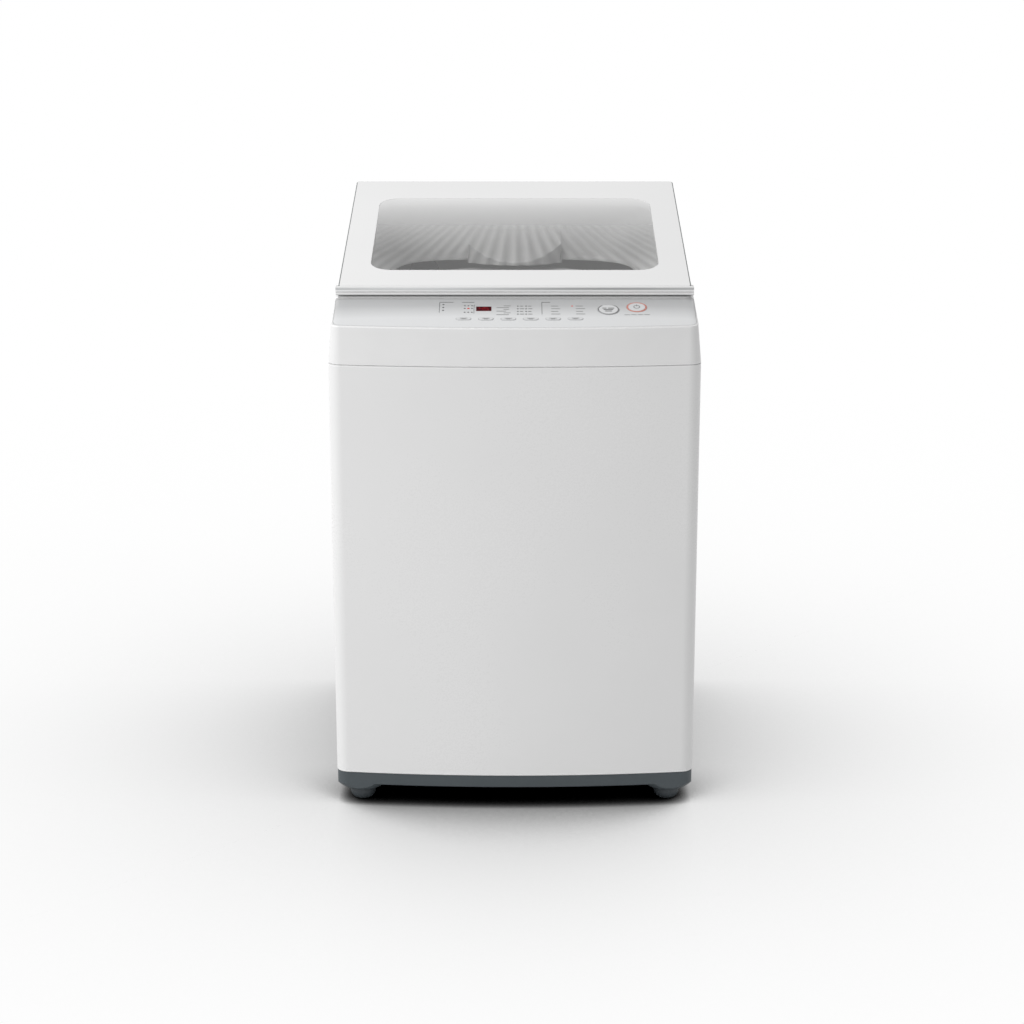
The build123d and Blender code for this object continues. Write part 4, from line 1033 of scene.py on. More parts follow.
class Bench:
    """Modelling steps, each on one object."""

    @staticmethod
    def clear() -> None:
        """Leaves edit mode and deselects everything."""
        if bpy.context.object and bpy.context.object.mode != "OBJECT":
            bpy.ops.object.mode_set(mode="OBJECT")
        bpy.ops.object.select_all(action="DESELECT")

    @staticmethod
    def take(obj: Piece) -> None:
        """Makes one object the only selected and the active one.

        Args:
            obj: The object.
        """
        Bench.clear()
        obj.select_set(True)
        bpy.context.view_layer.objects.active = obj

    @staticmethod
    def named(name: str) -> Piece:
        """Names the object that was just added, applies its place and size, and returns it.

        Args:
            name: Its new name.

        Returns:
            The object.
        """
        obj = bpy.context.object
        obj.name = name
        obj.data.name = name
        bpy.ops.object.transform_apply(location=True, rotation=True, scale=True)
        return obj

    @staticmethod
    def edit(obj: Piece, pick: Pick = Pick.POINTS) -> None:
        """Opens an object in edit mode with nothing selected.

        Args:
            obj: The object.
            pick: What can be selected.
        """
        Bench.take(obj)
        bpy.ops.object.mode_set(mode="EDIT")
        bpy.ops.mesh.select_mode(type=pick.value)
        bpy.ops.mesh.select_all(action="DESELECT")

    @staticmethod
    def pick_edges(obj: Piece, test: Callable[[Vector, Vector], bool]) -> None:
        """Opens an object in edit mode with some edges selected.

        Args:
            obj: The object.
            test: Says from an edge's two ends whether it is picked.
        """
        Bench.edit(obj, Pick.EDGES)
        bpy.ops.object.mode_set(mode="OBJECT")
        points = obj.data.vertices
        for edge in obj.data.edges:
            edge.select = test(points[edge.vertices[0]].co, points[edge.vertices[1]].co)
        bpy.ops.object.mode_set(mode="EDIT")

    @staticmethod
    def pick_faces(obj: Piece, test: Callable[[Vector, Vector], bool]) -> None:
        """Opens an object in edit mode with some faces selected.

        Args:
            obj: The object.
            test: Says from a face's middle and normal whether it is picked.
        """
        Bench.edit(obj, Pick.FACES)
        bpy.ops.object.mode_set(mode="OBJECT")
        for face in obj.data.polygons:
            face.select = test(face.center, face.normal)
        bpy.ops.object.mode_set(mode="EDIT")

    @staticmethod
    def done(obj: Piece, angle: float = radians(35)) -> Piece:
        """Leaves edit mode and smooths the object's rounded faces.

        Args:
            obj: The object.
            angle: The sharpest angle that is smoothed.

        Returns:
            The object.
        """
        Bench.take(obj)
        bpy.ops.object.shade_smooth_by_angle(angle=angle)
        return obj

    @staticmethod
    def weld(obj: Piece, reach: float = 1e-5, turn: bool = True) -> None:
        """Merges doubled points, and turns the faces outwards if asked.

        Args:
            obj: The object.
            reach: How close the points are that are merged, in metres.
            turn: Whether the faces are turned.
        """
        Bench.edit(obj)
        bpy.ops.mesh.select_all(action="SELECT")
        bpy.ops.mesh.remove_doubles(threshold=reach)
        if turn:
            bpy.ops.mesh.normals_make_consistent(inside=False)
        Bench.clear()

    @staticmethod
    def modify(obj: Piece, kind: str, **settings: Any) -> None:
        """Adds a modifier, sets it and applies it.

        Args:
            obj: The object.
            kind: The modifier's type.
            **settings: Its settings.
        """
        Bench.take(obj)
        modifier = obj.modifiers.new(kind.lower(), kind)
        for key, value in settings.items():
            setattr(modifier, key, value)
        bpy.ops.object.modifier_apply(modifier=modifier.name)

    @staticmethod
    def block(name: str, low: Sequence[float], high: Sequence[float]) -> Piece:
        """A box between two corners.

        Args:
            name: The box's name.
            low: Its lowest corner.
            high: Its highest corner.

        Returns:
            The box.
        """
        Bench.clear()
        middle = (Vector(low) + Vector(high)) / 2
        bpy.ops.mesh.primitive_cube_add(size=1.0, location=middle, scale=Vector(high) - Vector(low))
        return Bench.named(name)

    @staticmethod
    def plate(name: str, low: Sequence[float], high: Sequence[float], corner: float, steps: int) -> Piece:
        """A box between two corners with its upright edges rounded.

        Args:
            name: The box's name.
            low: Its lowest corner.
            high: Its highest corner.
            corner: The radius of its upright edges.
            steps: The faces of each rounded edge.

        Returns:
            The box.
        """
        obj = Bench.block(name, low, high)
        Bench.pick_edges(obj, lambda a, b: abs(a.z - b.z) > 1e-6)
        bpy.ops.mesh.bevel(offset=corner, segments=steps, affect="EDGES", clamp_overlap=False)
        Bench.clear()
        return obj

    @staticmethod
    def disc(name: str, radius: float, low: Vector, high: Vector, sides: int) -> Piece:
        """A round bar from one point to another.

        Args:
            name: The bar's name.
            radius: Its radius.
            low: The middle of one end.
            high: The middle of the other end.
            sides: Its sides.

        Returns:
            The bar.
        """
        Bench.clear()
        run = high - low
        turn = run.to_track_quat("Z", "Y").to_euler()
        bpy.ops.mesh.primitive_cylinder_add(
            vertices=sides, radius=radius, depth=run.length, location=(low + high) / 2, rotation=turn
        )
        return Bench.named(name)

    @staticmethod
    def cut(obj: Piece, tool: Piece) -> None:
        """Cuts a tool out of an object, and removes the tool."""
        Bench.modify(obj, "BOOLEAN", operation="DIFFERENCE", object=tool, solver="EXACT")
        bpy.data.objects.remove(tool)

    @staticmethod
    def wrapped(name: str, columns: int, rows: int, shape: Callable[[float, float], Vector]) -> Piece:
        """A grid laid on a surface.

        Args:
            name: The object's name.
            columns: Its cells one way.
            rows: Its cells the other way.
            shape: Gives the point for a share of the way along each of the two.

        Returns:
            The object, with its closed seams merged.
        """
        Bench.clear()
        bpy.ops.mesh.primitive_grid_add(x_subdivisions=columns, y_subdivisions=rows, size=1.0)
        obj = Bench.named(name)
        for vertex in obj.data.vertices:
            vertex.co = shape(vertex.co.x + 0.5, vertex.co.y + 0.5)
        Bench.weld(obj, turn=False)
        return obj

    @staticmethod
    def measure(obj: Piece, name: str, size: Callable[[Vector], float]) -> None:
        """Gives each point of a mesh a number of its own.

        Args:
            obj: The object.
            name: The number's name.
            size: Gives the number for a place.
        """
        numbers = obj.data.attributes.new(name, "FLOAT", "POINT")
        numbers.data.foreach_set("value", [size(vertex.co) for vertex in obj.data.vertices])

    @staticmethod
    def copy(obj: Piece, name: str, move: Matrix) -> Piece:
        """A copy with its own mesh, moved.

        Args:
            obj: The object.
            name: The copy's name.
            move: How the copy is moved.

        Returns:
            The copy.
        """
        twin = obj.copy()
        twin.data = obj.data.copy()
        twin.name = name
        twin.data.name = name
        twin.data.transform(move)
        bpy.context.scene.collection.objects.link(twin)
        return twin

    @staticmethod
    def joined(name: str, parts: Sequence[Piece]) -> Piece:
        """Several objects joined into one.

        Args:
            name: The joined object's name.
            parts: The objects.

        Returns:
            The joined object.
        """
        Bench.take(parts[0])
        for part in parts[1:]:
            part.select_set(True)
        bpy.ops.object.join()
        parts[0].name = name
        parts[0].data.name = name
        return parts[0]

    @staticmethod
    def paint(obj: Piece, *finishes: Finish) -> Piece:
        """Gives an object its finishes, in the order of its faces' material numbers.

        Args:
            obj: The object.
            *finishes: The finishes.

        Returns:
            The object.
        """
        obj.data.materials.clear()
        for finish in finishes:
            obj.data.materials.append(finish.material())
        return obj


class Print:
    """Flat marks, drawn in plan and laid on a node's upper side."""

    lift = 0.00008
    thickness = 0.00006
    start_height = 2.0

    @staticmethod
    def bar(x: float, y: float, width: float, height: float) -> Piece:
        """A bar round a point.

        Args:
            x: Its middle across.
            y: Its middle in depth.
            width: Its width.
            height: Its size in depth.

        Returns:
            The bar.
        """
        Bench.clear()
        bpy.ops.mesh.primitive_plane_add(size=1.0, location=(x, y, 0))
        obj = bpy.context.object
        obj.scale = (width, height, 1)
        return Bench.named("mark")

    @staticmethod
    def dot(x: float, y: float, radius: float, sides: int = 20) -> Piece:
        """A round dot.

        Args:
            x: Its middle across.
            y: Its middle in depth.
            radius: Its radius.
            sides: Its sides.

        Returns:
            The dot.
        """
        Bench.clear()
        bpy.ops.mesh.primitive_circle_add(vertices=sides, radius=radius, fill_type="NGON", location=(x, y, 0))
        return Bench.named("mark")

    @staticmethod
    def ring(x: float, y: float, radius: float, width: float, share: float = 1.0, sides: int = 48) -> Piece:
        """A ring, or the part of one that lies round its lower side.

        Args:
            x: Its middle across.
            y: Its middle in depth.
            radius: Its outer radius.
            width: Its width.
            share: How much of the ring there is.
            sides: Its sides.

        Returns:
            The ring.
        """
        Bench.clear()
        bpy.ops.mesh.primitive_circle_add(vertices=sides, radius=radius, fill_type="NGON", location=(x, y, 0))
        obj = Bench.named("mark")
        Bench.pick_faces(obj, lambda middle, normal: True)
        bpy.ops.mesh.inset(thickness=width)
        bpy.ops.mesh.delete(type="FACE")
        Bench.clear()
        if share < 1.0:
            reach = cos(pi * share)
            Bench.pick_faces(obj, lambda middle, normal: (middle.y - y) > -reach * radius)
            bpy.ops.mesh.delete(type="FACE")
            Bench.clear()
        return obj

    @classmethod
    def pressed(cls, name: str, marks: Sequence[Piece], node: str, body: str, finish: Finish) -> Piece:
        """Joins marks and lays them on a node.

        Args:
            name: The joined piece's name.
            marks: The flat marks.
            node: The node that they lie on.
            body: The body that they move with.
            finish: Their ink.

        Returns:
            The piece.
        """
        obj = Bench.joined(name, marks)
        target = frame["nodes"][node]
        for vertex in obj.data.vertices:
            start = Vector((vertex.co.x, vertex.co.y, cls.start_height))
            found, place, normal, _ = target.ray_cast(start, Vector((0, 0, -1)))
            if not found:
                raise ValueError(f"{name} does not lie on {node}")
            vertex.co = place + normal * cls.lift
        Bench.modify(obj, "SOLIDIFY", thickness=cls.thickness, offset=1.0)
        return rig.ride(Bench.paint(obj, finish), body)


# The finishes

# the cabinet's sharp edges get a painted highlight
GLOSS_WHITE = Enamel("gloss_white_enamel", grey(0.80), 0.28, coat=0.1, edge=0.004, painted_edge_highlight=0.8, gloss=0.3)
LID_PRINT = Enamel("white_printed_glass", grey(0.83), 0.10, peel=0.000002, coat=0.6)
# dark: painted shade along the lid's side edges
GLASS_EDGE_SHADE = Moulded("glass_edge", (0.10, 0.11, 0.11), 0.4, depth=0.000004)
# a painted shadow along the sill under the handle, and a painted highlight along sharp edges
WHITE_MOULDING = MouldedWithPaintedShadow("white_moulding", grey(0.80), 0.30, edge=0.004, coat=0.05, painted_edge_highlight=1.0, gloss=0.3)
HANDLE_WHITE = Moulded("white_handle_moulding", grey(0.82), 0.26, edge=0.001, coat=0.15)
# the well and the hood take painted shade between their flutes and on their right side
WELL_PLASTIC = Ribbed("well_plastic", grey(0.88), 0.34)
HOOD_PLASTIC = Ribbed("hood_plastic", grey(0.85), 0.32)
# near black in painted shade under the funnel, with its crest pale in painted light
RING_PLASTIC = Crested("balance_ring_plastic", grey(0.05, -0.02), 0.4)
# near black: painted shade in the gap under the funnel
COVER_PLASTIC = Moulded("tub_cover_plastic", grey(0.05, -0.02), 0.42, cloud=0.05)
DRUM_BASE_PLASTIC = Moulded("drum_base_plastic", grey(0.50, -0.02), 0.36, cloud=0.04)
TUB_PLASTIC = Moulded("tub_plastic", grey(0.40, -0.02), 0.42, cloud=0.05)
PULSATOR_PLASTIC = Moulded("pulsator_plastic", (0.46, 0.50, 0.56), 0.32, cloud=0.02, edge=0.003)
FILTER_PLASTIC = Moulded("filter_plastic", (0.50, 0.55, 0.62), 0.35, cloud=0.03, edge=0.002)
# darker towards the sill in painted shadow under the lid's lip, with painted shade along its sharp edges
PANEL_SILVER = Silver(
    "silver_panel_film",
    grey(0.72, -0.01),
    0.36,
    shade=0.31,
    low=-0.246,
    high=-0.211,
    metallic=0.1,
    outline=0.45,
)
# the handle strip's painted reflection runs across it as a darker and paler wave; its lower edge is white
TRIM_SILVER = Silver("silver_trim", grey(0.56, -0.01), 0.34, metallic=0.6, white=0.7776, sheen=0.45)
KEY_SILVER = Silver("silver_keys", grey(0.66, -0.01), 0.34, metallic=0.15, edge=0.0006)
RING_RED = Moulded("orange_ring", (0.66, 0.24, 0.19), 0.3, depth=0.00001, edge=0.0006)
DISPLAY_LENS = Lens("display_lens", (0.075, 0.004, 0.008), 0.4)
BASE_GREY = Moulded("base_slate_moulding", (0.060, 0.074, 0.082), 0.5, grain=500.0, depth=0.00005, edge=0.002)
FOOT_GREY = Moulded("foot_moulding", (0.050, 0.060, 0.068), 0.5, grain=500.0, depth=0.00005, edge=0.002)
ZINC_SHEET = Zinc("zinc_sheet", grey(0.60, -0.01), 0.42)
BRIGHT_STEEL = Brushed("bright_steel", grey(0.60, -0.01), 0.3, lines=(60.0, 60.0, 700.0))
STAINLESS = Brushed("stainless_drum", grey(0.66, -0.01), 0.26, lines=(6.0, 6.0, 900.0))
BLACK_RUBBER = Rubber("black_rubber", grey(0.022), 0.6)
DARK_PLASTIC = Moulded("dark_plastic", (0.05, 0.055, 0.068), 0.45, cloud=0.06, edge=0.0008)
INLET_PLASTIC = Moulded("inlet_plastic", (0.60, 0.60, 0.57), 0.4)
BOARD_GREEN = Board("board_green", (0.012, 0.085, 0.035), 0.35)
CAST_ALLOY = Cast("cast_alloy", grey(0.52), 0.45)
MOTOR_ENAMEL = Enamel("motor_enamel", (0.09, 0.10, 0.115), 0.4, peel=0.00004, coat=0.1)
INK_DARK = Ink("panel_ink", grey(0.045), 0.45)
INK_GREY = Ink("panel_ink_grey", grey(0.16), 0.45)
INK_RED = Ink("panel_ink_red", (0.62, 0.05, 0.03), 0.4)
SEGMENT_RED = Ink("display_segments", (0.22, 0.006, 0.012), 0.4, glow=0.15, gloss=0.0)


@dataclass
class Assembly:
    """A group of pieces of the machine.

    The nodes that keep their shape are listed by their finish, and the other pieces are modelled here.
    """

    finishes: ClassVar[Coats] = {}

    def pieces(self) -> Iterator[Piece]:
        """Builds the group's own pieces."""
        return iter(())

    def dress(self) -> None:
        """Gives the nodes their finishes, builds the pieces and reports each."""
        for finish, nodes in self.finishes.items():
            for node in nodes:
                Bench.paint(frame["nodes"][node], finish)
                log.info("node %s: %s", node, finish.name)
        for piece in self.pieces():
            log.info("piece %s: %d faces", piece.name, len(piece.data.polygons))


@dataclass
class CabinetShell(Assembly):
    """The steel wrap, its rear panel and what is screwed to it."""

    screw_radius: float = 0.0035
    screw_sides: int = 24
    screw_rows: int = 5
    dome: float = 0.3
    dome_steps: int = 3
    dome_from: float = 0.9
    slot_length: float = 0.0046
    slot_width: float = 0.0009
    slot_depth: float = 0.001
    spigot_radius: float = 0.0132
    spigot_z: float = 0.780
    thread_turns: float = 4.5
    thread_pitch: float = 0.0023
    thread_depth: float = 0.0010
    thread_steps: int = 40
    thread_sink: float = 0.3
    thread_runout: float = 5.0
    thread_foot: float = 0.48
    thread_smooth: float = radians(30)

    finishes: ClassVar[Coats] = {
        GLOSS_WHITE: ("cabinet",),
        ZINC_SHEET: ("rear_panel", "corner_brackets"),
        BLACK_RUBBER: ("cord_gland",),
        DARK_PLASTIC: ("drain_outlet", "level_sensor", "lid_switch", "inlet_tube"),
        INLET_PLASTIC: ("inlet_valve",),
    }

    def pieces(self) -> Iterator[Piece]:
        """Builds the rear panel's screw heads and the inlet's thread."""
        yield self.screws()
        yield self.thread()

    def screws(self) -> Piece:
        """Domed heads with a cross slot, in place of the plain ones.

        Returns:
            The piece.
        """
        low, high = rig.box("panel_screws")
        rise = high.y - low.y
        top = Vector((0, rise, 0))
        head = Bench.disc("panel_screw_heads", self.screw_radius, Vector((0, 0, 0)), top, self.screw_sides)
        Bench.pick_edges(head, lambda a, b: min(a.y, b.y) > rise * self.dome_from)
        bpy.ops.mesh.bevel(offset=self.screw_radius * self.dome, segments=self.dome_steps, affect="EDGES")
        Bench.clear()
        for across, along in ((self.slot_length, self.slot_width), (self.slot_width, self.slot_length)):
            near = (-across / 2, rise - self.slot_depth, -along / 2)
            Bench.cut(head, Bench.block("slot", near, (across / 2, high.y, along / 2)))
        step = (high.z - low.z - 2 * self.screw_radius) / (self.screw_rows - 1)
        heads = []
        for x in (low.x + self.screw_radius, high.x - self.screw_radius):
            for row in range(self.screw_rows):
                place = Vector((x, low.y, low.z + self.screw_radius + row * step))
                heads.append(Bench.copy(head, "head", Matrix.Translation(place)))
        bpy.data.objects.remove(head)
        piece = Bench.done(Bench.joined("panel_screw_heads", heads))
        Bench.paint(piece, BRIGHT_STEEL)
        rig.replaces(piece, "panel_screws")
        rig.slot(piece, "bright_steel")
        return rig.ride(piece, "machine")

    def thread(self) -> Piece:
        """A screw thread round the inlet's spigot, which runs out at both ends.

        Returns:
            The piece.
        """
        low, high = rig.box("inlet_valve")
        middle = (low.x + high.x) / 2
        start = high.y - self.thread_pitch * (self.thread_turns + 1)

        def ridge(turn: float, side: float) -> Vector:
            """A point of the thread for a share of its length and of its three-cornered section's round.

            Args:
                turn: The share of the thread's length.
                side: The share of its section's round.

            Returns:
                The point.
            """
            angle = 2 * pi * self.thread_turns * turn
            corner = round(3 * side) % 3 - 1
            crest = min(1.0, self.thread_runout * turn, self.thread_runout * (1 - turn))
            out = self.spigot_radius + self.thread_depth * (-self.thread_sink if corner else crest)
            along = start + self.thread_pitch * (self.thread_turns * turn + self.thread_foot * corner)
            return Vector((middle + out * cos(angle), along, self.spigot_z + out * sin(angle)))

        piece = Bench.wrapped("inlet_thread", int(self.thread_turns * self.thread_steps), 3, ridge)
        Bench.weld(piece)
        Bench.paint(Bench.done(piece, self.thread_smooth), INLET_PLASTIC)
        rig.slot(piece, "dark_plastic")
        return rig.ride(piece, "machine")


@dataclass
class Base(Assembly):
    """The moulded base and its feet."""

    finishes: ClassVar[Coats] = {
        BASE_GREY: ("base_frame",),
        FOOT_GREY: ("front_left_foot", "front_right_foot", "rear_feet"),
        BRIGHT_STEEL: ("foot_nuts",),
    }


@dataclass
class GlassLid(Assembly):
    """The sloping lid: a printed glass border, a clear window, the frame, the handle and its strip."""

    slope: float = radians(10.83)
    thickness: float = 0.004
    corner: float = 0.004
    window_side: float = 0.043
    window_front: float = 0.065
    window_rear: float = 0.086
    window_radius: float = 0.032
    gap: float = 0.0003
    soft_edge: float = 0.0018
    corner_steps: int = 10
    window_steps: int = 12
    rim_lean: float = 0.1
    border_smooth: float = radians(20)

    finishes: ClassVar[Coats] = {
        HANDLE_WHITE: ("lid_frame", "lid_handle"),
        TRIM_SILVER: ("lid_handle_strip",),
        BLACK_RUBBER: ("lid_bumpers",),
        BRIGHT_STEEL: ("hinge_brackets", "hinge_pins"),
    }

    def __post_init__(self) -> None:
        """Reads the lid's place from its glass."""
        low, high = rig.box("lid_glass")
        self.width = high.x - low.x
        self.length = (high.y - low.y - self.thickness * sin(self.slope)) / cos(self.slope)
        origin = Vector((0, low.y, high.z - self.length * sin(self.slope)))
        self.place = Matrix.Translation(origin) @ Matrix.Rotation(self.slope, 4, "X")

    def pieces(self) -> Iterator[Piece]:
        """Builds the glass's border and window."""
        yield self.border()
        yield self.window()

    def outline(self, low: Sequence[float], high: Sequence[float], radius: float, z: float) -> list[Vector]:
        """Points round a rectangle with rounded corners, in the lid's own axes.

        Args:
            low: The rectangle's near left corner.
            high: Its far right corner.
            radius: The radius of its corners.
            z: The points' height.

        Returns:
            As many points for each corner.
        """
        points = []
        for quarter, (x, y) in enumerate(((1, 1), (-1, 1), (-1, -1), (1, -1))):
            middle_x = high[0] - radius if x > 0 else low[0] + radius
            middle_y = high[1] - radius if y > 0 else low[1] + radius
            for step in range(self.corner_steps + 1):
                angle = (quarter + step / self.corner_steps) * pi / 2
                points.append(Vector((middle_x + radius * cos(angle), middle_y + radius * sin(angle), z)))
        return points

    def border(self) -> Piece:
        """The part of the glass that is printed white from behind: a band whose outer edge is ground, and whose side
        edges are dark in painted shade.

        Returns:
            The piece.
        """
        half, edge = self.width / 2, self.soft_edge
        outer = (-half, 0.0), (half, self.length)
        inset = (edge - half, edge), (half - edge, self.length - edge)
        inner = self.opening(0.0)
        rings = [
            self.outline(*inner, self.window_radius, -self.thickness),
            self.outline(*outer, self.corner, -self.thickness),
            self.outline(*outer, self.corner, -edge),
            self.outline(*inset, self.corner - edge, 0.0),
            self.outline(*inner, self.window_radius, 0.0),
        ]
        count = len(rings[0])

        def point(turn: float, share: float) -> Vector:
            """A point of the band, round it and across it."""
            return self.place @ rings[round(share * len(rings)) % len(rings)][round(turn * count) % count]

        piece = Bench.wrapped("lid_border", count, len(rings), point)
        Bench.weld(piece)
        Bench.paint(Bench.done(piece, self.border_smooth), LID_PRINT, GLASS_EDGE_SHADE)
        # painted shade: the side edges take the dark finish
        for face in piece.data.polygons:
            rim = abs(face.center.x) > half - edge
            face.material_index = int(rim and abs(face.normal.x) > self.rim_lean)
        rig.replaces(piece, "lid_glass")
        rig.slot(piece, "window_glass")
        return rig.ride(piece, "lid")

    def opening(self, gap: float) -> tuple[Pair, Pair]:
        """The window's corners in the lid's own axes, inset by a gap."""
        half = self.width / 2 - self.window_side - gap
        return (-half, self.window_front + gap), (half, self.length - self.window_rear - gap)

    def window(self) -> Piece:
        """The clear part of the glass.

        Returns:
            The piece.
        """
        low, high = self.opening(self.gap)
        radius = self.window_radius - self.gap
        floor, top = (*low, self.gap - self.thickness), (*high, -self.gap)
        piece = Bench.plate("lid_window", floor, top, radius, self.window_steps)
        piece.data.transform(self.place)
        Bench.paint(Bench.done(piece), ClearGlass("window_glass", WHITE, 0.02))
        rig.slot(piece, "window_glass")
        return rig.ride(piece, "lid")


@dataclass
class WashWell(Assembly):
    """The fluted funnel from the deck down to the drum, and the hood that spreads the water."""

    lid: GlassLid
    mouth_half: float = 0.193
    mouth_back: float = 0.188
    mouth_front: float = 0.176
    mouth_z: float = 0.758
    mouth_squareness: float = 4.0
    axis_y: float = 0.014
    lip: float = 0.004
    half_width: float = 0.240
    front: float = 0.014
    rear: float = 0.040
    squareness: float = 6.0
    deck: float = -0.0143
    wall: float = 0.0022
    flange: float = 0.005
    flange_rise: float = 0.0015
    skin: float = 0.8
    columns: int = 560
    rows: int = 70
    lip_end: float = 0.05
    wall_start: float = 0.08
    wall_end: float = 0.90
    rim_start: float = 0.92
    flange_start: float = 0.97
    swell_foot: float = 8.0
    swell_head: float = 20.0
    flute_depth: float = 0.0045
    flute_share: float = 0.16
    fan_y: float = 0.28
    fan_z: float = 0.868
    fan_slope: float = 0.1426
    fan_planes: float = 5.6
    fan_least: float = 0.03
    finest: float = 0.0035
    fine: float = 0.0075
    hood_half: float = 0.0745
    hood_front: float = 0.166
    hood_back: float = 0.2222
    hood_low: float = 0.750
    hood_lip: float = 0.004
    hood_bulge: float = 0.028
    hood_slope: float = radians(44)
    hood_seat: float = 0.1985
    hood_seat_slope: float = 2.22
    hood_columns: int = 98
    hood_rows: int = 30
    hood_round: float = 0.6
    hood_brim: float = 0.8
    funnel_smooth: float = radians(60)
    hood_smooth: float = radians(50)

    finishes: ClassVar[Coats] = {
        WHITE_MOULDING: ("top_frame",),
    }

    def pieces(self) -> Iterator[Piece]:
        """Builds the fluted funnel and hood."""
        yield self.funnel()
        yield self.hood()

    def mouth_point(self, angle: float, z: float) -> Vector:
        """A point of the mouth's outline.

        Args:
            angle: The angle round the mouth.
            z: The point's height.

        Returns:
            The point.
        """
        half = (self.mouth_back + self.mouth_front) / 2
        middle = self.axis_y + (self.mouth_back - self.mouth_front) / 2
        across = abs(cos(angle) / self.mouth_half) ** self.mouth_squareness
        along = abs(sin(angle) / half) ** self.mouth_squareness
        reach = (across + along) ** (-1 / self.mouth_squareness)
        return Vector((reach * cos(angle), middle + reach * sin(angle), z))

    def deck_point(self, angle: float, margin: float, rise: float) -> Vector:
        """A point of the funnel's upper outline, on the deck.

        Args:
            angle: The angle round the outline.
            margin: How far outside the outline the point is.
            rise: How far above the deck it is.

        Returns:
            The point.
        """
        half = (self.lid.length - self.front - self.rear) / 2 + margin
        across = abs(cos(angle) / (self.half_width + margin)) ** self.squareness
        along = abs(sin(angle) / half) ** self.squareness
        reach = (across + along) ** (-1 / self.squareness)
        middle = (self.front + self.lid.length - self.rear) / 2
        return self.lid.place @ Vector((reach * cos(angle), middle + reach * sin(angle), self.deck + rise))

    def surface(self, turn: float, share: float) -> Vector:
        """The funnel's inner surface.

        Args:
            turn: The share of the way round.
            share: The share of the way from the lip up to the flange's edge.

        Returns:
            The point.
        """
        angle = 2 * pi * turn
        if share < self.lip_end:
            inner = self.mouth_point(angle, self.mouth_z - self.lip)
            return inner - (inner - Vector((0, self.axis_y, inner.z))).normalized() * self.wall
        if share > self.flange_start:
            return self.deck_point(angle, self.flange, self.flange_rise)
        if share > self.rim_start:
            return self.deck_point(angle, 0.0, self.flange_rise)
        climb = share_of(share, self.wall_start, self.wall_end)
        low = self.mouth_point(angle, self.mouth_z)
        high = self.deck_point(angle, -self.wall, 0.0)
        point = low.lerp(high, climb)
        inward = (Vector((0, self.axis_y, point.z)) - point).normalized()
        swell = min(1.0, self.swell_foot * climb) * min(1.0, self.swell_head * (1 - climb))
        eased = swell**2 * (3 - 2 * swell)
        return point + inward * (self.wall + eased * self.ridge(point) * self.depth(point))

    def fan(self, point: Vector) -> tuple[float, float]:
        """Where a point lies in the fan of planes that cut the flutes.

        Args:
            point: The point.

        Returns:
            Its plane, and the planes' pitch there.
        """
        drop = (self.fan_z - self.fan_slope * (point.y - self.fan_y) - point.z) / 2
        drop += sqrt(drop**2 + self.fan_least**2)
        lean = point.x / drop
        return self.fan_planes * lean, drop / self.fan_planes / sqrt(1 + lean**2)

    def ridge(self, point: Vector) -> float:
        """How far up a flute's ridge a point is, where the flutes aren't too fine."""
        plane, pitch = self.fan(point)
        return 0.5 + 0.5 * share_of(pitch, self.finest, self.fine) * cos(2 * pi * plane)

    def depth(self, point: Vector) -> float:
        """How deep the flutes are at a point."""
        return min(self.flute_depth, self.flute_share * self.fan(point)[1])

    def funnel(self) -> Piece:
        """The funnel's wall, with flutes that fan out from the rear down to the mouth.

        Returns:
            The piece.
        """
        piece = Bench.wrapped("fluted_funnel", self.columns, self.rows, self.surface)
        Bench.modify(piece, "SOLIDIFY", thickness=self.wall * self.skin, offset=1.0)
        Bench.measure(piece, Ribbed.measured, self.ridge)
        Bench.paint(Bench.done(piece, self.funnel_smooth), WELL_PLASTIC)
        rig.replaces(piece, "tub_funnel")
        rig.slot(piece, "inner_plastic")
        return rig.ride(piece, "machine")

    def hood_point(self, across: float, down: float) -> Vector:
        """The hood's outer surface: a fluted slope from the funnel's back to a bowed lip, and two side walls.

        Args:
            across: The share of the way from the foot of one side wall to the foot of the other.
            down: The share of the way from the funnel's back down to the lip's edge.

        Returns:
            The point.
        """
        side = 1 / self.hood_columns
        x = self.hood_half * (2 * share_of(across, side, 1 - side) - 1)
        arc = (self.hood_half**2 + self.hood_bulge**2) / (2 * self.hood_bulge)
        edge = self.hood_front + arc - sqrt(arc**2 - x**2)
        y = self.hood_back + (edge - self.hood_back) * min(down / self.hood_brim, 1.0)
        if not side / 2 < across < 1 - side / 2:
            seat = self.mouth_z + (y - self.hood_seat) * self.hood_seat_slope
            return Vector((x, y, max(self.hood_low, seat)))
        brim = self.hood_low + self.hood_lip + (edge - self.hood_front) * tan(self.hood_slope)
        z = brim + (y - edge) * tan(self.hood_slope)
        z += (self.hood_low - brim) * share_of(down, self.hood_brim, 1.0)
        out = Vector((0, -sin(self.hood_slope), cos(self.hood_slope)))
        out = out.lerp(Vector((0, -1, 0)), share_of(down, self.hood_round, self.hood_brim))
        point = Vector((x, y, z))
        return point - out * (1 - self.ridge(point)) * self.depth(point)

    def hood(self) -> Piece:
        """The hood that spreads the water, with the funnel's flutes carried on over it.

        Returns:
            The piece.
        """
        piece = Bench.wrapped("fluted_hood", self.hood_columns, self.hood_rows, self.hood_point)
        Bench.modify(piece, "SOLIDIFY", thickness=self.wall * self.skin, offset=1.0)
        Bench.measure(piece, Ribbed.measured, self.ridge)
        Bench.paint(Bench.done(piece, self.hood_smooth), HOOD_PLASTIC)
        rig.replaces(piece, "water_inlet_hood")
        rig.slot(piece, "inner_plastic")
        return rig.ride(piece, "machine")


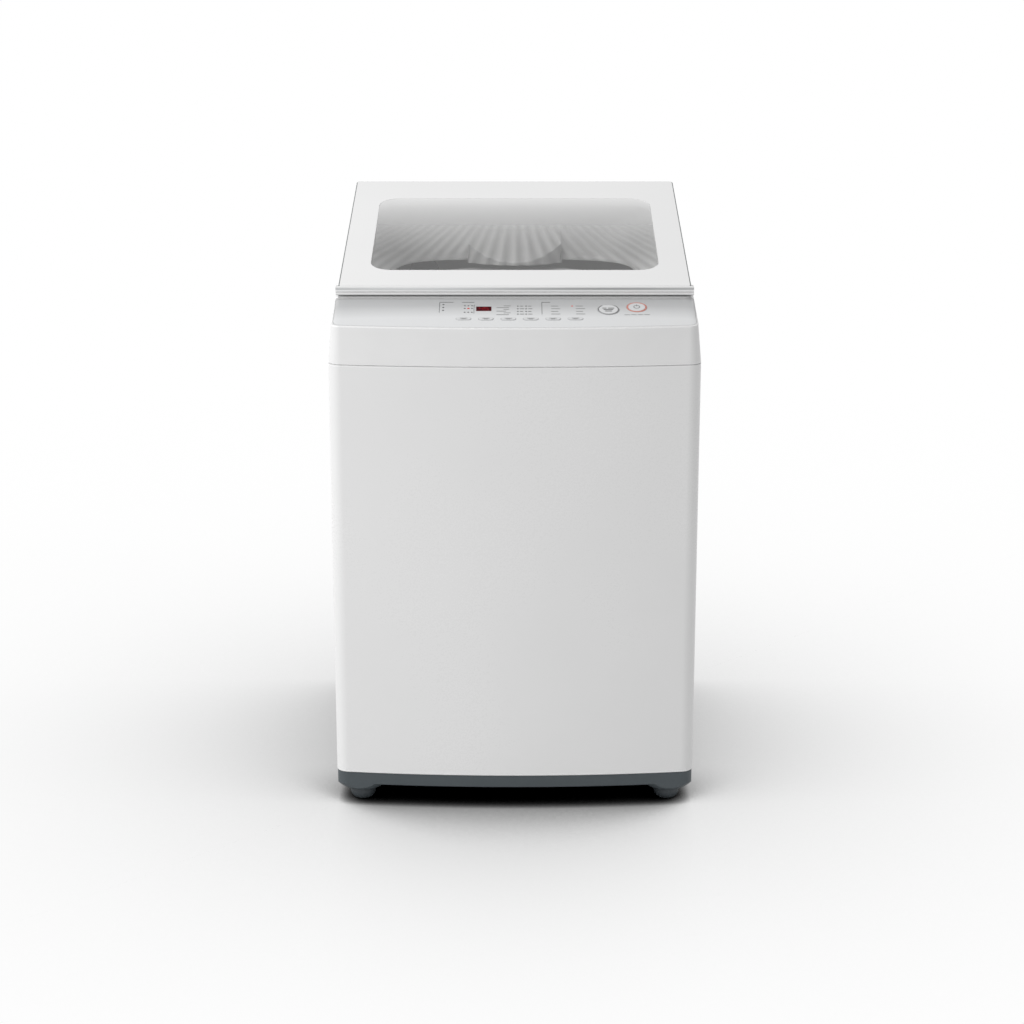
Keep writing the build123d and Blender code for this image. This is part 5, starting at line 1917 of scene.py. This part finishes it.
@dataclass
class Drum(Assembly):
    """The perforated drum, its ring and base, and the pulsator."""

    columns: int = 80
    rows: int = 23
    hole_inset: float = 0.36
    hole_corner: float = 0.08
    sheet: float = 0.0012
    axis_y: float = 0.014
    wall_smooth: float = radians(30)

    finishes: ClassVar[Coats] = {
        RING_PLASTIC: ("balance_ring",),
        DRUM_BASE_PLASTIC: ("drum_base",),
        TUB_PLASTIC: ("outer_tub",),
        COVER_PLASTIC: ("tub_cover",),
        PULSATOR_PLASTIC: ("pulsator", "pulsator_cap"),
        FILTER_PLASTIC: ("lint_filter",),
        BRIGHT_STEEL: ("spin_tube", "wash_shaft"),
    }

    def pieces(self) -> Iterator[Piece]:
        """Builds the drum's perforated wall."""
        yield self.wall()

    def wall(self) -> Piece:
        """Sheet steel with rows of holes, bent round.

        Returns:
            The piece.
        """
        low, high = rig.box("wash_drum")
        radius = (high.x - low.x) / 2 - self.sheet
        height = high.z - low.z
        Bench.clear()
        bpy.ops.mesh.primitive_plane_add(size=1.0)
        cell = Bench.named("perforated_drum")
        Bench.pick_faces(cell, lambda middle, normal: True)
        bpy.ops.mesh.inset(thickness=self.hole_inset)
        bpy.ops.mesh.bevel(offset=self.hole_corner, segments=1, affect="VERTICES")
        bpy.ops.mesh.delete(type="FACE")
        Bench.clear()
        for count, way in ((self.columns, (1, 0, 0)), (self.rows, (0, 1, 0))):
            Bench.modify(cell, "ARRAY", count=count, relative_offset_displace=way, use_merge_vertices=True)
        for vertex in cell.data.vertices:
            angle = 2 * pi * (vertex.co.x + 0.5) / self.columns
            z = low.z + height * (vertex.co.y + 0.5) / self.rows
            vertex.co = Vector((radius * cos(angle), self.axis_y + radius * sin(angle), z))
        Bench.weld(cell, turn=False)
        Bench.modify(cell, "SOLIDIFY", thickness=self.sheet, offset=1.0)
        Bench.paint(Bench.done(cell, self.wall_smooth), STAINLESS)
        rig.replaces(cell, "wash_drum")
        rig.slot(cell, "stainless")
        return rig.ride(cell, "drum")


@dataclass
class Suspension(Assembly):
    """The four rods, cups and coil springs that the tub hangs on."""

    turns: float = 7.5
    wire: float = 0.0017
    coil_radius: float = 0.0121
    sides: int = 8
    steps: int = 18
    smooth: float = radians(80)

    finishes: ClassVar[Coats] = {BRIGHT_STEEL: ("suspension_rods",), DARK_PLASTIC: ("suspension_cups",)}

    def pieces(self) -> Iterator[Piece]:
        """Builds the four springs as one piece."""
        yield self.springs()

    def springs(self) -> Piece:
        """Coil springs that shorten as the tub goes down.

        Returns:
            The piece.
        """
        low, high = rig.box("suspension_springs")
        radius = self.coil_radius + self.wire
        rise = high.z - low.z - 2 * self.wire

        def coil(turn: float, side: float) -> Vector:
            """A point of the coil for a share of its length and of its wire's round.

            Args:
                turn: The share of the coil's length.
                side: The share of its wire's round.

            Returns:
                The point.
            """
            angle = 2 * pi * self.turns * turn
            out = self.coil_radius + self.wire * cos(2 * pi * side)
            up = self.wire * sin(2 * pi * side)
            return Vector((out * cos(angle), out * sin(angle), low.z + self.wire + rise * turn + up))

        one = Bench.wrapped("spring", int(self.turns * self.steps), self.sides, coil)
        Bench.weld(one)
        coils = []
        for x in (low.x + radius, high.x - radius):
            for y in (low.y + radius, high.y - radius):
                coils.append(Bench.copy(one, "spring_copy", Matrix.Translation((x, y, 0))))
        bpy.data.objects.remove(one)
        piece = Bench.done(Bench.joined("coil_springs", coils), self.smooth)
        Bench.paint(piece, BRIGHT_STEEL)
        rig.replaces(piece, "suspension_springs")
        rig.slot(piece, "bright_steel")
        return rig.blend(piece, "machine", "tub", (0, 0, low.z), (0, 0, high.z))


@dataclass
class Drive(Assembly):
    """The motor, the belt and the clutch under the tub."""

    belt_ribs: int = 3
    belt_steps: int = 120
    belt_thickness: float = 0.006
    belt_groove: float = 0.7
    belt_smooth: float = radians(25)

    finishes: ClassVar[Coats] = {
        ZINC_SHEET: ("support_plate",),
        CAST_ALLOY: ("clutch_housing", "drive_pulley", "motor_pulley"),
        MOTOR_ENAMEL: ("motor",),
        BLACK_RUBBER: ("tub_seal",),
        DARK_PLASTIC: ("drain_valve",),
    }

    def pieces(self) -> Iterator[Piece]:
        """Builds the ribbed belt."""
        yield self.belt()

    def belt(self) -> Piece:
        """A belt with ribs on its inner side, round the two pulleys.

        Returns:
            The piece.
        """
        low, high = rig.box("drive_belt")
        large = (high.x - low.x) / 2
        wheel_low, wheel_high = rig.box("motor_pulley")
        small = (wheel_high.x - wheel_low.x) / 2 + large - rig.box("drive_pulley")[1].x
        large_y, small_y = high.y - large, low.y + small
        span = large_y - small_y
        lean = acos((large - small) / span)
        run = sqrt(span**2 - (large - small) ** 2)
        arcs = (2 * (pi - lean) * large, run, 2 * lean * small, run)
        total = sum(arcs)

        def outline(share: float, inset: float) -> Vector:
            """A point of the belt's line, inset from its outer side.

            Args:
                share: The share of the belt's length.
                inset: How far inside the outer side the point is.

            Returns:
                The point.
            """
            way = share * total
            if way < arcs[0]:
                angle = -pi / 2 + lean + way / large
                return Vector(((large - inset) * cos(angle), large_y + (large - inset) * sin(angle), 0))
            way -= arcs[0]
            angle = 3 * pi / 2 - lean
            out = Vector((cos(angle), sin(angle), 0))
            if way < run:
                first = Vector((0, large_y, 0)) + (large - inset) * out
                return first.lerp(Vector((0, small_y, 0)) + (small - inset) * out, way / run)
            way -= run
            if way < arcs[2]:
                turn = angle + way / small
                return Vector(((small - inset) * cos(turn), small_y + (small - inset) * sin(turn), 0))
            way -= arcs[2]
            out.x = -out.x
            first = Vector((0, small_y, 0)) + (small - inset) * out
            return first.lerp(Vector((0, large_y, 0)) + (large - inset) * out, way / run)

        points = [(0.0, 1.0), (0.0, 0.0)]
        ribs = 2 * self.belt_ribs
        for rib in range(ribs + 1):
            points.append((1.0 if rib % 2 else self.belt_groove, rib / ribs))

        def section(turn: float, share: float) -> Vector:
            """A point of the belt for a share of its length and of its section's round.

            Args:
                turn: The share of the belt's length.
                share: The share of its section's round.

            Returns:
                The point.
            """
            depth, height = points[round(share * len(points)) % len(points)]
            place = outline(turn % 1.0, depth * self.belt_thickness)
            place.z = low.z + height * (high.z - low.z)
            return place

        piece = Bench.wrapped("ribbed_belt", self.belt_steps, len(points), section)
        Bench.weld(piece)
        Bench.paint(Bench.done(piece, self.belt_smooth), BLACK_RUBBER)
        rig.replaces(piece, "drive_belt")
        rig.slot(piece, "black_rubber")
        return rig.ride(piece, "tub")


@dataclass
class DrainHose(Assembly):
    """The corrugated hose from the drain valve down to the outlet."""

    radius: float = 0.0148
    groove: float = 0.0022
    pitch: float = 0.0052
    pitch_steps: int = 4
    sides: int = 24
    turn_share: float = 0.6
    line_steps: int = 64
    smooth: float = radians(80)

    def pieces(self) -> Iterator[Piece]:
        """Builds the hose."""
        yield self.hose()

    def route(self) -> list[Vector]:
        """The points that the hose's line is drawn through, from the outlet up to the valve.

        Returns:
            The points.
        """
        low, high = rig.box("drain_hose")
        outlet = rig.box("drain_outlet")
        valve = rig.box("drain_valve")
        outlet_x = (outlet[0].x + outlet[1].x) / 2
        outlet_z = (outlet[0].z + outlet[1].z) / 2
        valve_x = (valve[0].x + valve[1].x) / 2
        valve_z = high.z - self.radius
        turn_y = low.y + self.turn_share * (high.y - low.y)
        return [
            Vector((outlet_x, high.y, outlet_z)),
            Vector((outlet_x, turn_y, outlet_z)),
            Vector((valve_x, turn_y, valve_z)),
            Vector((valve_x, low.y, valve_z)),
        ]

    def line(self) -> list[Vector]:
        """Points along the hose's smooth line.

        Returns:
            The points.
        """
        curve = bpy.data.curves.new("hose_line", "CURVE")
        curve.dimensions = "3D"
        spline = curve.splines.new("NURBS")
        route = self.route()
        spline.points.add(len(route) - 1)
        for point, place in zip(spline.points, route):
            point.co = (*place, 1.0)
        spline.order_u = 3
        spline.use_endpoint_u = True
        spline.resolution_u = self.line_steps
        holder = bpy.data.objects.new("hose_line", curve)
        bpy.context.scene.collection.objects.link(holder)
        bpy.context.view_layer.update()
        mesh = bpy.data.meshes.new_from_object(holder)
        points = [v.co.copy() for v in mesh.vertices]
        bpy.data.objects.remove(holder)
        bpy.data.meshes.remove(mesh)
        return points

    def hose(self) -> Piece:
        """A corrugated tube along the line.

        Returns:
            The piece.
        """
        points = self.line()
        steps = [0.0]
        for first, second in zip(points, points[1:]):
            steps.append(steps[-1] + (second - first).length)
        total = steps[-1]
        rings = self.pitch_steps * ceil(total / self.pitch)

        def at(way: float) -> tuple[Vector, Vector]:
            """The line's place and direction at a length along it.

            Args:
                way: The length.

            Returns:
                The place and the direction.
            """
            index = 0
            while index < len(steps) - 2 and steps[index + 1] < way:
                index += 1
            run = points[index + 1] - points[index]
            share = (way - steps[index]) / max(run.length, 1e-9)
            return points[index] + run * min(max(share, 0.0), 1.0), run.normalized()

        def skin(share: float, turn: float) -> Vector:
            """A point of the hose for a share of its length and of its round.

            Args:
                share: The share of the hose's length.
                turn: The share of its round.

            Returns:
                The point.
            """
            middle, ahead = at(share * total)
            side = Vector((1, 0, 0)) - ahead * ahead.x
            side.normalize()
            up = ahead.cross(side)
            dip = self.groove * (0.5 - 0.5 * cos(2 * pi * share * total / self.pitch))
            angle = 2 * pi * turn
            return middle + (side * cos(angle) + up * sin(angle)) * (self.radius - dip)

        piece = Bench.wrapped("drain_hose_bellows", rings, self.sides, skin)
        Bench.weld(piece)
        Bench.paint(Bench.done(piece, self.smooth), BLACK_RUBBER)
        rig.replaces(piece, "drain_hose")
        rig.slot(piece, "black_rubber")
        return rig.blend(piece, "machine", "tub", points[0], points[-1])


@dataclass
class ControlPanel(Assembly):
    """The silver panel with its keys, display and printed marks."""

    half: float = 0.2651
    bow: float = 0.018
    front: float = -0.2826
    sill: float = -0.189
    display_x: float = -0.045
    start_x: float = 0.136
    power_x: float = 0.1775
    start_share: float = 0.62
    power_share: float = 0.70
    display_share: float = 0.66
    stroke: float = 0.0011
    upright: float = 0.6
    dash: float = 1.2
    dash_gap: float = 0.003
    dash_loss: float = 0.22
    lamp_radius: float = 0.0013
    heading: float = 0.88
    level_bracket: Sequence[float] = (-0.1095, 0.52, heading, 0.020)
    level_x: float = -0.104
    level_rows: Sequence[float] = (0.60, 0.70, 0.80)
    level_radius: float = 0.0015
    title_x: float = -0.068
    title_width: float = 0.018
    lamps: Sequence[float] = (-0.0726, -0.0674, -0.0622)
    lamp_rows: Sequence[float] = (0.54, 0.76)
    lamp_middle: float = 0.67
    lamp_bracket: Sequence[float] = (-0.0592, 0.50, 0.78, stroke)
    option_bracket: Sequence[float] = (0.0395, 0.47, heading, 0.012)
    rows: Sequence[float] = (0.48, 0.57, 0.66, 0.75)
    dark_columns: Sequence[float] = (0.0045, 0.0165)
    dark_width: float = 0.006
    grey_columns: Sequence[tuple[float, Sequence[float], float]] = (
        (-0.0295, (0.46, 0.58, 0.70), 0.018),
        (-0.019, (0.52, 0.64, 0.76), 0.010),
        (0.050, rows, 0.013),
        (0.086, rows, 0.013),
    )
    power_row: Sequence[float] = (0.163, 0.1725, 0.182, 0.1915)
    power_row_share: float = 0.44
    power_row_width: float = 0.008
    red_lamps: Sequence[tuple[float, float, float]] = ((-0.0674, 0.67, 0.0018), (0.0835, 0.75, 0.0014))
    key_dashes: Sequence[Pair] = ((-0.0003, 0.0105), (-0.0025, 0.006))
    start_ring: float = 0.0150
    start_rows: Sequence[tuple[float, Sequence[float]]] = (
        (0.0036, (0.006, 0.009)),
        (-0.0008, (0.014,)),
        (-0.0052, (0.010,)),
    )
    start_gap: float = 0.002
    start_stroke: float = 0.0019
    power_ring: float = 0.0048
    power_ring_share: float = 0.82
    power_stroke: float = 0.005
    power_stroke_up: float = 0.0042
    digit_width: float = 0.0052
    digit_height: float = 0.0088
    digit_gap: float = 0.0076

    keys: ClassVar[tuple[str, ...]] = tuple(f"key_{number}" for number in range(1, 7))
    finishes: ClassVar[Coats] = {
        PANEL_SILVER: ("control_panel",),
        KEY_SILVER: (*keys, "start_button", "power_button"),
        RING_RED: ("power_ring",),
        DISPLAY_LENS: ("display_lens",),
        BOARD_GREEN: ("control_board",),
    }

    def depth_at(self, x: float, share: float) -> float:
        """How far back a place on the panel lies.

        Args:
            x: How far across it is.
            share: The share of the way up the panel.

        Returns:
            Its depth.
        """
        arc = (self.half**2 + self.bow**2) / (2 * self.bow)
        low = self.front + arc - sqrt(arc**2 - x**2)
        return low + share * (self.sill - low)

    def bar(self, x: float, share: float, width: float, height: float) -> Piece:
        """A printed bar round a place on the panel."""
        return Print.bar(x, self.depth_at(x, share), width, height)

    def dot(self, x: float, share: float, radius: Optional[float] = None) -> Piece:
        """A printed dot at a place on the panel."""
        return Print.dot(x, self.depth_at(x, share), radius or self.lamp_radius)

    def bracket(self, x: float, low: float, high: float, arm: float) -> list[Piece]:
        """A thin line up the panel, with an arm across from its top.

        Args:
            x: How far across it is.
            low: The share of the way up the panel where it starts.
            high: The share where it ends.
            arm: The arm's length.

        Returns:
            The two bars.
        """
        foot, head = self.depth_at(x, low), self.depth_at(x, high)
        upright = Print.bar(x, (foot + head) / 2, self.stroke * self.upright, head - foot)
        return [upright, Print.bar(x + arm / 2, head, arm, self.stroke)]

    def column(self, x: float, shares: Sequence[float], width: float, lamp: bool) -> list[Piece]:
        """A column of plain dashes, each with a lamp dot before it if asked.

        Args:
            x: How far across it starts.
            shares: The dashes' shares of the way up the panel.
            width: The longest dash's width.
            lamp: Whether there are lamp dots.

        Returns:
            The marks.
        """
        marks = []
        for index, share in enumerate(shares):
            length = width * (1.0 - self.dash_loss * (index % 2))
            marks.append(self.bar(x + length / 2 + self.dash_gap, share, length, self.stroke * self.dash))
            if lamp:
                marks.append(self.dot(x, share))
        return marks

    def pieces(self) -> Iterator[Piece]:
        """Builds the printed marks, the key marks and the display's figures.

        Returns:
            The pieces, one at a time.
        """
        yield self.dark_marks()
        yield self.grey_marks()
        yield self.red_marks()
        yield from self.key_marks()
        yield self.start_mark()
        yield self.power_mark()
        yield self.figures()

    def dark_marks(self) -> Piece:
        """The brackets, and the columns of dashes and dots beside the display.

        Returns:
            The piece.
        """
        marks = self.bracket(*self.level_bracket)
        marks += [self.dot(self.level_x, share, self.level_radius) for share in self.level_rows]
        marks += [self.bar(self.title_x, self.heading, self.title_width, self.stroke)]
        marks += [self.dot(x, share) for x in self.lamps for share in self.lamp_rows]
        marks += [self.dot(x, self.lamp_middle) for x in (self.lamps[0], self.lamps[-1])]
        marks += self.bracket(*self.lamp_bracket)
        marks += self.bracket(*self.option_bracket)
        for x in self.dark_columns:
            marks += self.column(x, self.rows, self.dark_width, True)
        return Print.pressed("panel_marks_dark", marks, "control_panel", "machine", INK_DARK)

    def grey_marks(self) -> Piece:
        """Paler dashes beside the display and the lamps, and a row under the power key.

        Returns:
            The piece.
        """
        marks = []
        for x, shares, width in self.grey_columns:
            marks += self.column(x, shares, width, False)
        for x in self.power_row:
            marks.append(self.bar(x, self.power_row_share, self.power_row_width, self.stroke))
        return Print.pressed("panel_marks_grey", marks, "control_panel", "machine", INK_GREY)

    def red_marks(self) -> Piece:
        """Two small red lamps."""
        marks = [self.dot(*lamp) for lamp in self.red_lamps]
        return Print.pressed("panel_lamps_red", marks, "control_panel", "machine", INK_RED)

    def key_marks(self) -> Iterator[Piece]:
        """Two plain dashes on each function key.

        Returns:
            The pieces, one at a time.
        """
        for number, node in enumerate(self.keys, 1):
            low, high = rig.box(node)
            x, y = (low.x + high.x) / 2, (low.y + high.y) / 2
            marks = [Print.bar(x, y + up, width, self.stroke) for up, width in self.key_dashes]
            yield Print.pressed(f"key_mark_{number}", marks, node, f"function_key_{number}", INK_GREY)

    def start_mark(self) -> Piece:
        """A ring and three rows of dashes on the start key.

        Returns:
            The piece.
        """
        y = self.depth_at(self.start_x, self.start_share)
        marks = [Print.ring(self.start_x, y, self.start_ring, self.stroke)]
        for up, widths in self.start_rows:
            total = sum(widths) + self.start_gap * (len(widths) - 1)
            left = self.start_x - total / 2
            for width in widths:
                marks.append(Print.bar(left + width / 2, y + up, width, self.start_stroke))
                left += width + self.start_gap
        return Print.pressed("start_mark", marks, "start_button", "start_key", INK_DARK)

    def power_mark(self) -> Piece:
        """A broken ring and a stroke on the power key.

        Returns:
            The piece.
        """
        y = self.depth_at(self.power_x, self.power_share)
        marks = [
            Print.ring(self.power_x, y, self.power_ring, self.stroke, self.power_ring_share),
            Print.bar(self.power_x, y + self.power_stroke_up, self.stroke, self.power_stroke),
        ]
        return Print.pressed("power_mark", marks, "power_button", "power_key", INK_GREY)

    def figures(self) -> Piece:
        """Two seven-stroke figures in the display.

        Returns:
            The piece.
        """
        middle_y = self.depth_at(self.display_x, self.display_share)
        digit, height, stroke = self.digit_width, self.digit_height, self.stroke
        strokes = {
            "top": (0, 1, digit, stroke),
            "middle": (0, 0, digit, stroke),
            "bottom": (0, -1, digit, stroke),
            "upper_left": (-1, 0.5, stroke, height / 2),
            "upper_right": (1, 0.5, stroke, height / 2),
            "lower_left": (-1, -0.5, stroke, height / 2),
            "lower_right": (1, -0.5, stroke, height / 2),
        }
        lit = (
            ("upper_left", "upper_right", "middle", "lower_right"),
            ("top", "upper_left", "middle", "lower_right", "bottom"),
        )
        marks = []
        for index, names in enumerate(lit):
            x = self.display_x + (index - 0.5) * self.digit_gap
            for name in names:
                across, up, width, tall = strokes[name]
                marks.append(Print.bar(x + across * digit / 2, middle_y + up * height / 2, width, tall))
        return Print.pressed("display_figures", marks, "display_lens", "machine", SEGMENT_RED)


@dataclass
class Studio:
    """The camera, a pale floor and soft light."""

    pitch: float = radians(16.0)
    camera_place: tuple[float, float, float] = (0.0, -3.6268, 1.425)
    focal_pixels: float = 2380.0
    image_pixels: float = 1024.0
    centre_pixels: float = 514.75
    sensor: float = 36.0
    floor_size: float = 120.0
    floor_tone: Colour = (0.9, 0.9, 0.9)
    floor_least: float = 0.06
    floor_gain: float = 0.97
    plain_range: Pair = (1.2, 2.6)
    front_range: Pair = (-0.27, -0.10)
    front_sky: Pair = (0.2, 0.66)
    front_power: float = 2.0
    rear_sky: Pair = (0.2, 0.5)
    sky_samples: int = 24
    ambient: float = 0.55
    key_level: float = 0.60
    key_distance: float = 4.2
    key_size: float = 2.6
    key_azimuth: float = radians(62)
    key_elevation: float = radians(40)
    key_aim: tuple[float, float, float] = (0.0, 0.0, 0.5)
    shadow_reach: float = 3.0

    def camera(self) -> None:
        """The camera at the photograph's angle."""
        data = bpy.data.cameras.new("camera")
        data.sensor_width = self.sensor
        data.lens = self.focal_pixels / self.image_pixels * self.sensor
        data.shift_x = (self.image_pixels / 2 - self.centre_pixels) / self.image_pixels
        data.clip_end = 2 * self.floor_size
        camera = bpy.data.objects.new("camera", data)
        camera.location = self.camera_place
        camera.rotation_euler = (pi / 2 - self.pitch, 0, 0)
        bpy.context.scene.collection.objects.link(camera)
        bpy.context.scene.camera = camera

    def floor(self) -> None:
        """A white floor, clear from below, with the machine's shadow painted on it from its open sky, harder in front,
        and plain white further off.
        """
        Bench.clear()
        bpy.ops.mesh.primitive_plane_add(size=self.floor_size, location=(0, 0, 0))
        floor = Bench.named("floor")
        graph = Graph(bpy.data.materials.new("white_floor"))
        x, y = graph.along(Axis.X), graph.along(Axis.Y)
        far = ((x * x + y * y) ** 0.5).ramp(*self.plain_range)
        sky = graph.node(
            "ShaderNodeAmbientOcclusion", {"samples": self.sky_samples}, {"Distance": self.shadow_reach}
        )
        open_sky = Val(graph, sky.outputs["AO"])
        # painted shadow: the floor's shade comes from how open its sky is, with a harder fall in front of the machine
        before = 1.0 - y.ramp(*self.front_range)
        close = open_sky.ramp(*self.front_sky, False) ** self.front_power * before
        close = close + open_sky.ramp(*self.rear_sky, False) * (1.0 - before)
        near = close * (self.floor_least + self.floor_gain * open_sky)
        tone = graph.mixed(near.most(far), BLACK, WHITE)
        matt = graph.node("ShaderNodeBsdfDiffuse", {}, {"Color": self.floor_tone}).outputs[0]
        shown = graph.node("ShaderNodeEmission", {}, {"Color": tone, "Strength": 1.0}).outputs[0]
        top = graph.node("ShaderNodeMixShader", {}, {0: self.seen(graph), 1: matt, 2: shown}).outputs[0]
        below = graph.node("ShaderNodeNewGeometry").outputs["Backfacing"]
        clear = graph.node("ShaderNodeBsdfTransparent").outputs[0]
        graph.end(graph.node("ShaderNodeMixShader", {}, {0: below, 1: top, 2: clear}).outputs[0])
        floor.data.materials.append(graph.owner)
        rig.stage(floor)

    @staticmethod
    def seen(graph: Graph) -> Val:
        """1 for the rays that show the background: from the camera, a mirror or through glass.

        Args:
            graph: The graph that gets the nodes.

        Returns:
            The share of such rays.
        """
        path = graph.node("ShaderNodeLightPath")
        camera = Val(graph, path.outputs["Is Camera Ray"])
        mirror = Val(graph, path.outputs["Is Glossy Ray"])
        through = Val(graph, path.outputs["Is Transmission Ray"])
        return camera.most(mirror).most(through)

    def world(self) -> None:
        """An even soft light, and a white background."""
        world = bpy.data.worlds.new("studio")
        bpy.context.scene.world = world
        graph = Graph(world)
        level = self.ambient + (1.0 - self.ambient) * self.seen(graph)
        light = graph.node("ShaderNodeBackground", {}, {"Color": WHITE, "Strength": level})
        graph.node("ShaderNodeOutputWorld", {}, {"Surface": light.outputs[0]})

    def lamps(self) -> None:
        """A broad key light from the left, above the front."""
        data = bpy.data.lights.new("key", "AREA")
        data.shape = "SQUARE"
        data.size = self.key_size
        data.energy = self.key_level * pi**2 * self.key_distance**2
        lamp = bpy.data.objects.new("key", data)
        flat = cos(self.key_elevation)
        way = Vector((-sin(self.key_azimuth) * flat, -cos(self.key_azimuth) * flat, sin(self.key_elevation)))
        lamp.location = Vector(self.key_aim) + way * self.key_distance
        lamp.rotation_euler = way.to_track_quat("Z", "Y").to_euler()
        bpy.context.scene.collection.objects.link(lamp)

    def build(self) -> None:
        """Sets up the whole studio."""
        self.camera()
        self.floor()
        self.world()
        self.lamps()
        bpy.context.scene.view_settings.view_transform = "Standard"


def write_sizes(solids: Sequence[Vector], shown: Sequence[Vector]) -> None:
    """Writes the box of the solids and of the dressed machine.

    Args:
        solids: The lowest and highest corner of the solids.
        shown: The lowest and highest corner of what is shown.
    """
    boxes = {"cad_box": [list(corner) for corner in solids], "visual_box": [list(corner) for corner in shown]}
    with open("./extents.json", "w", encoding="utf-8") as file:
        json.dump(boxes, file)


def main() -> None:
    """Dresses the machine, one assembly after another, and sets up the studio."""
    logging.basicConfig(level=logging.INFO, format="%(message)s")
    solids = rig.bounds()
    lid = GlassLid()
    shell = (CabinetShell(), Base(), lid, WashWell(lid))
    works = (Drum(), Suspension(), Drive(), DrainHose(), ControlPanel())
    for assembly in (*shell, *works):
        assembly.dress()
    Studio().build()
    write_sizes(solids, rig.bounds())


if __name__ == "__main__":
    main()
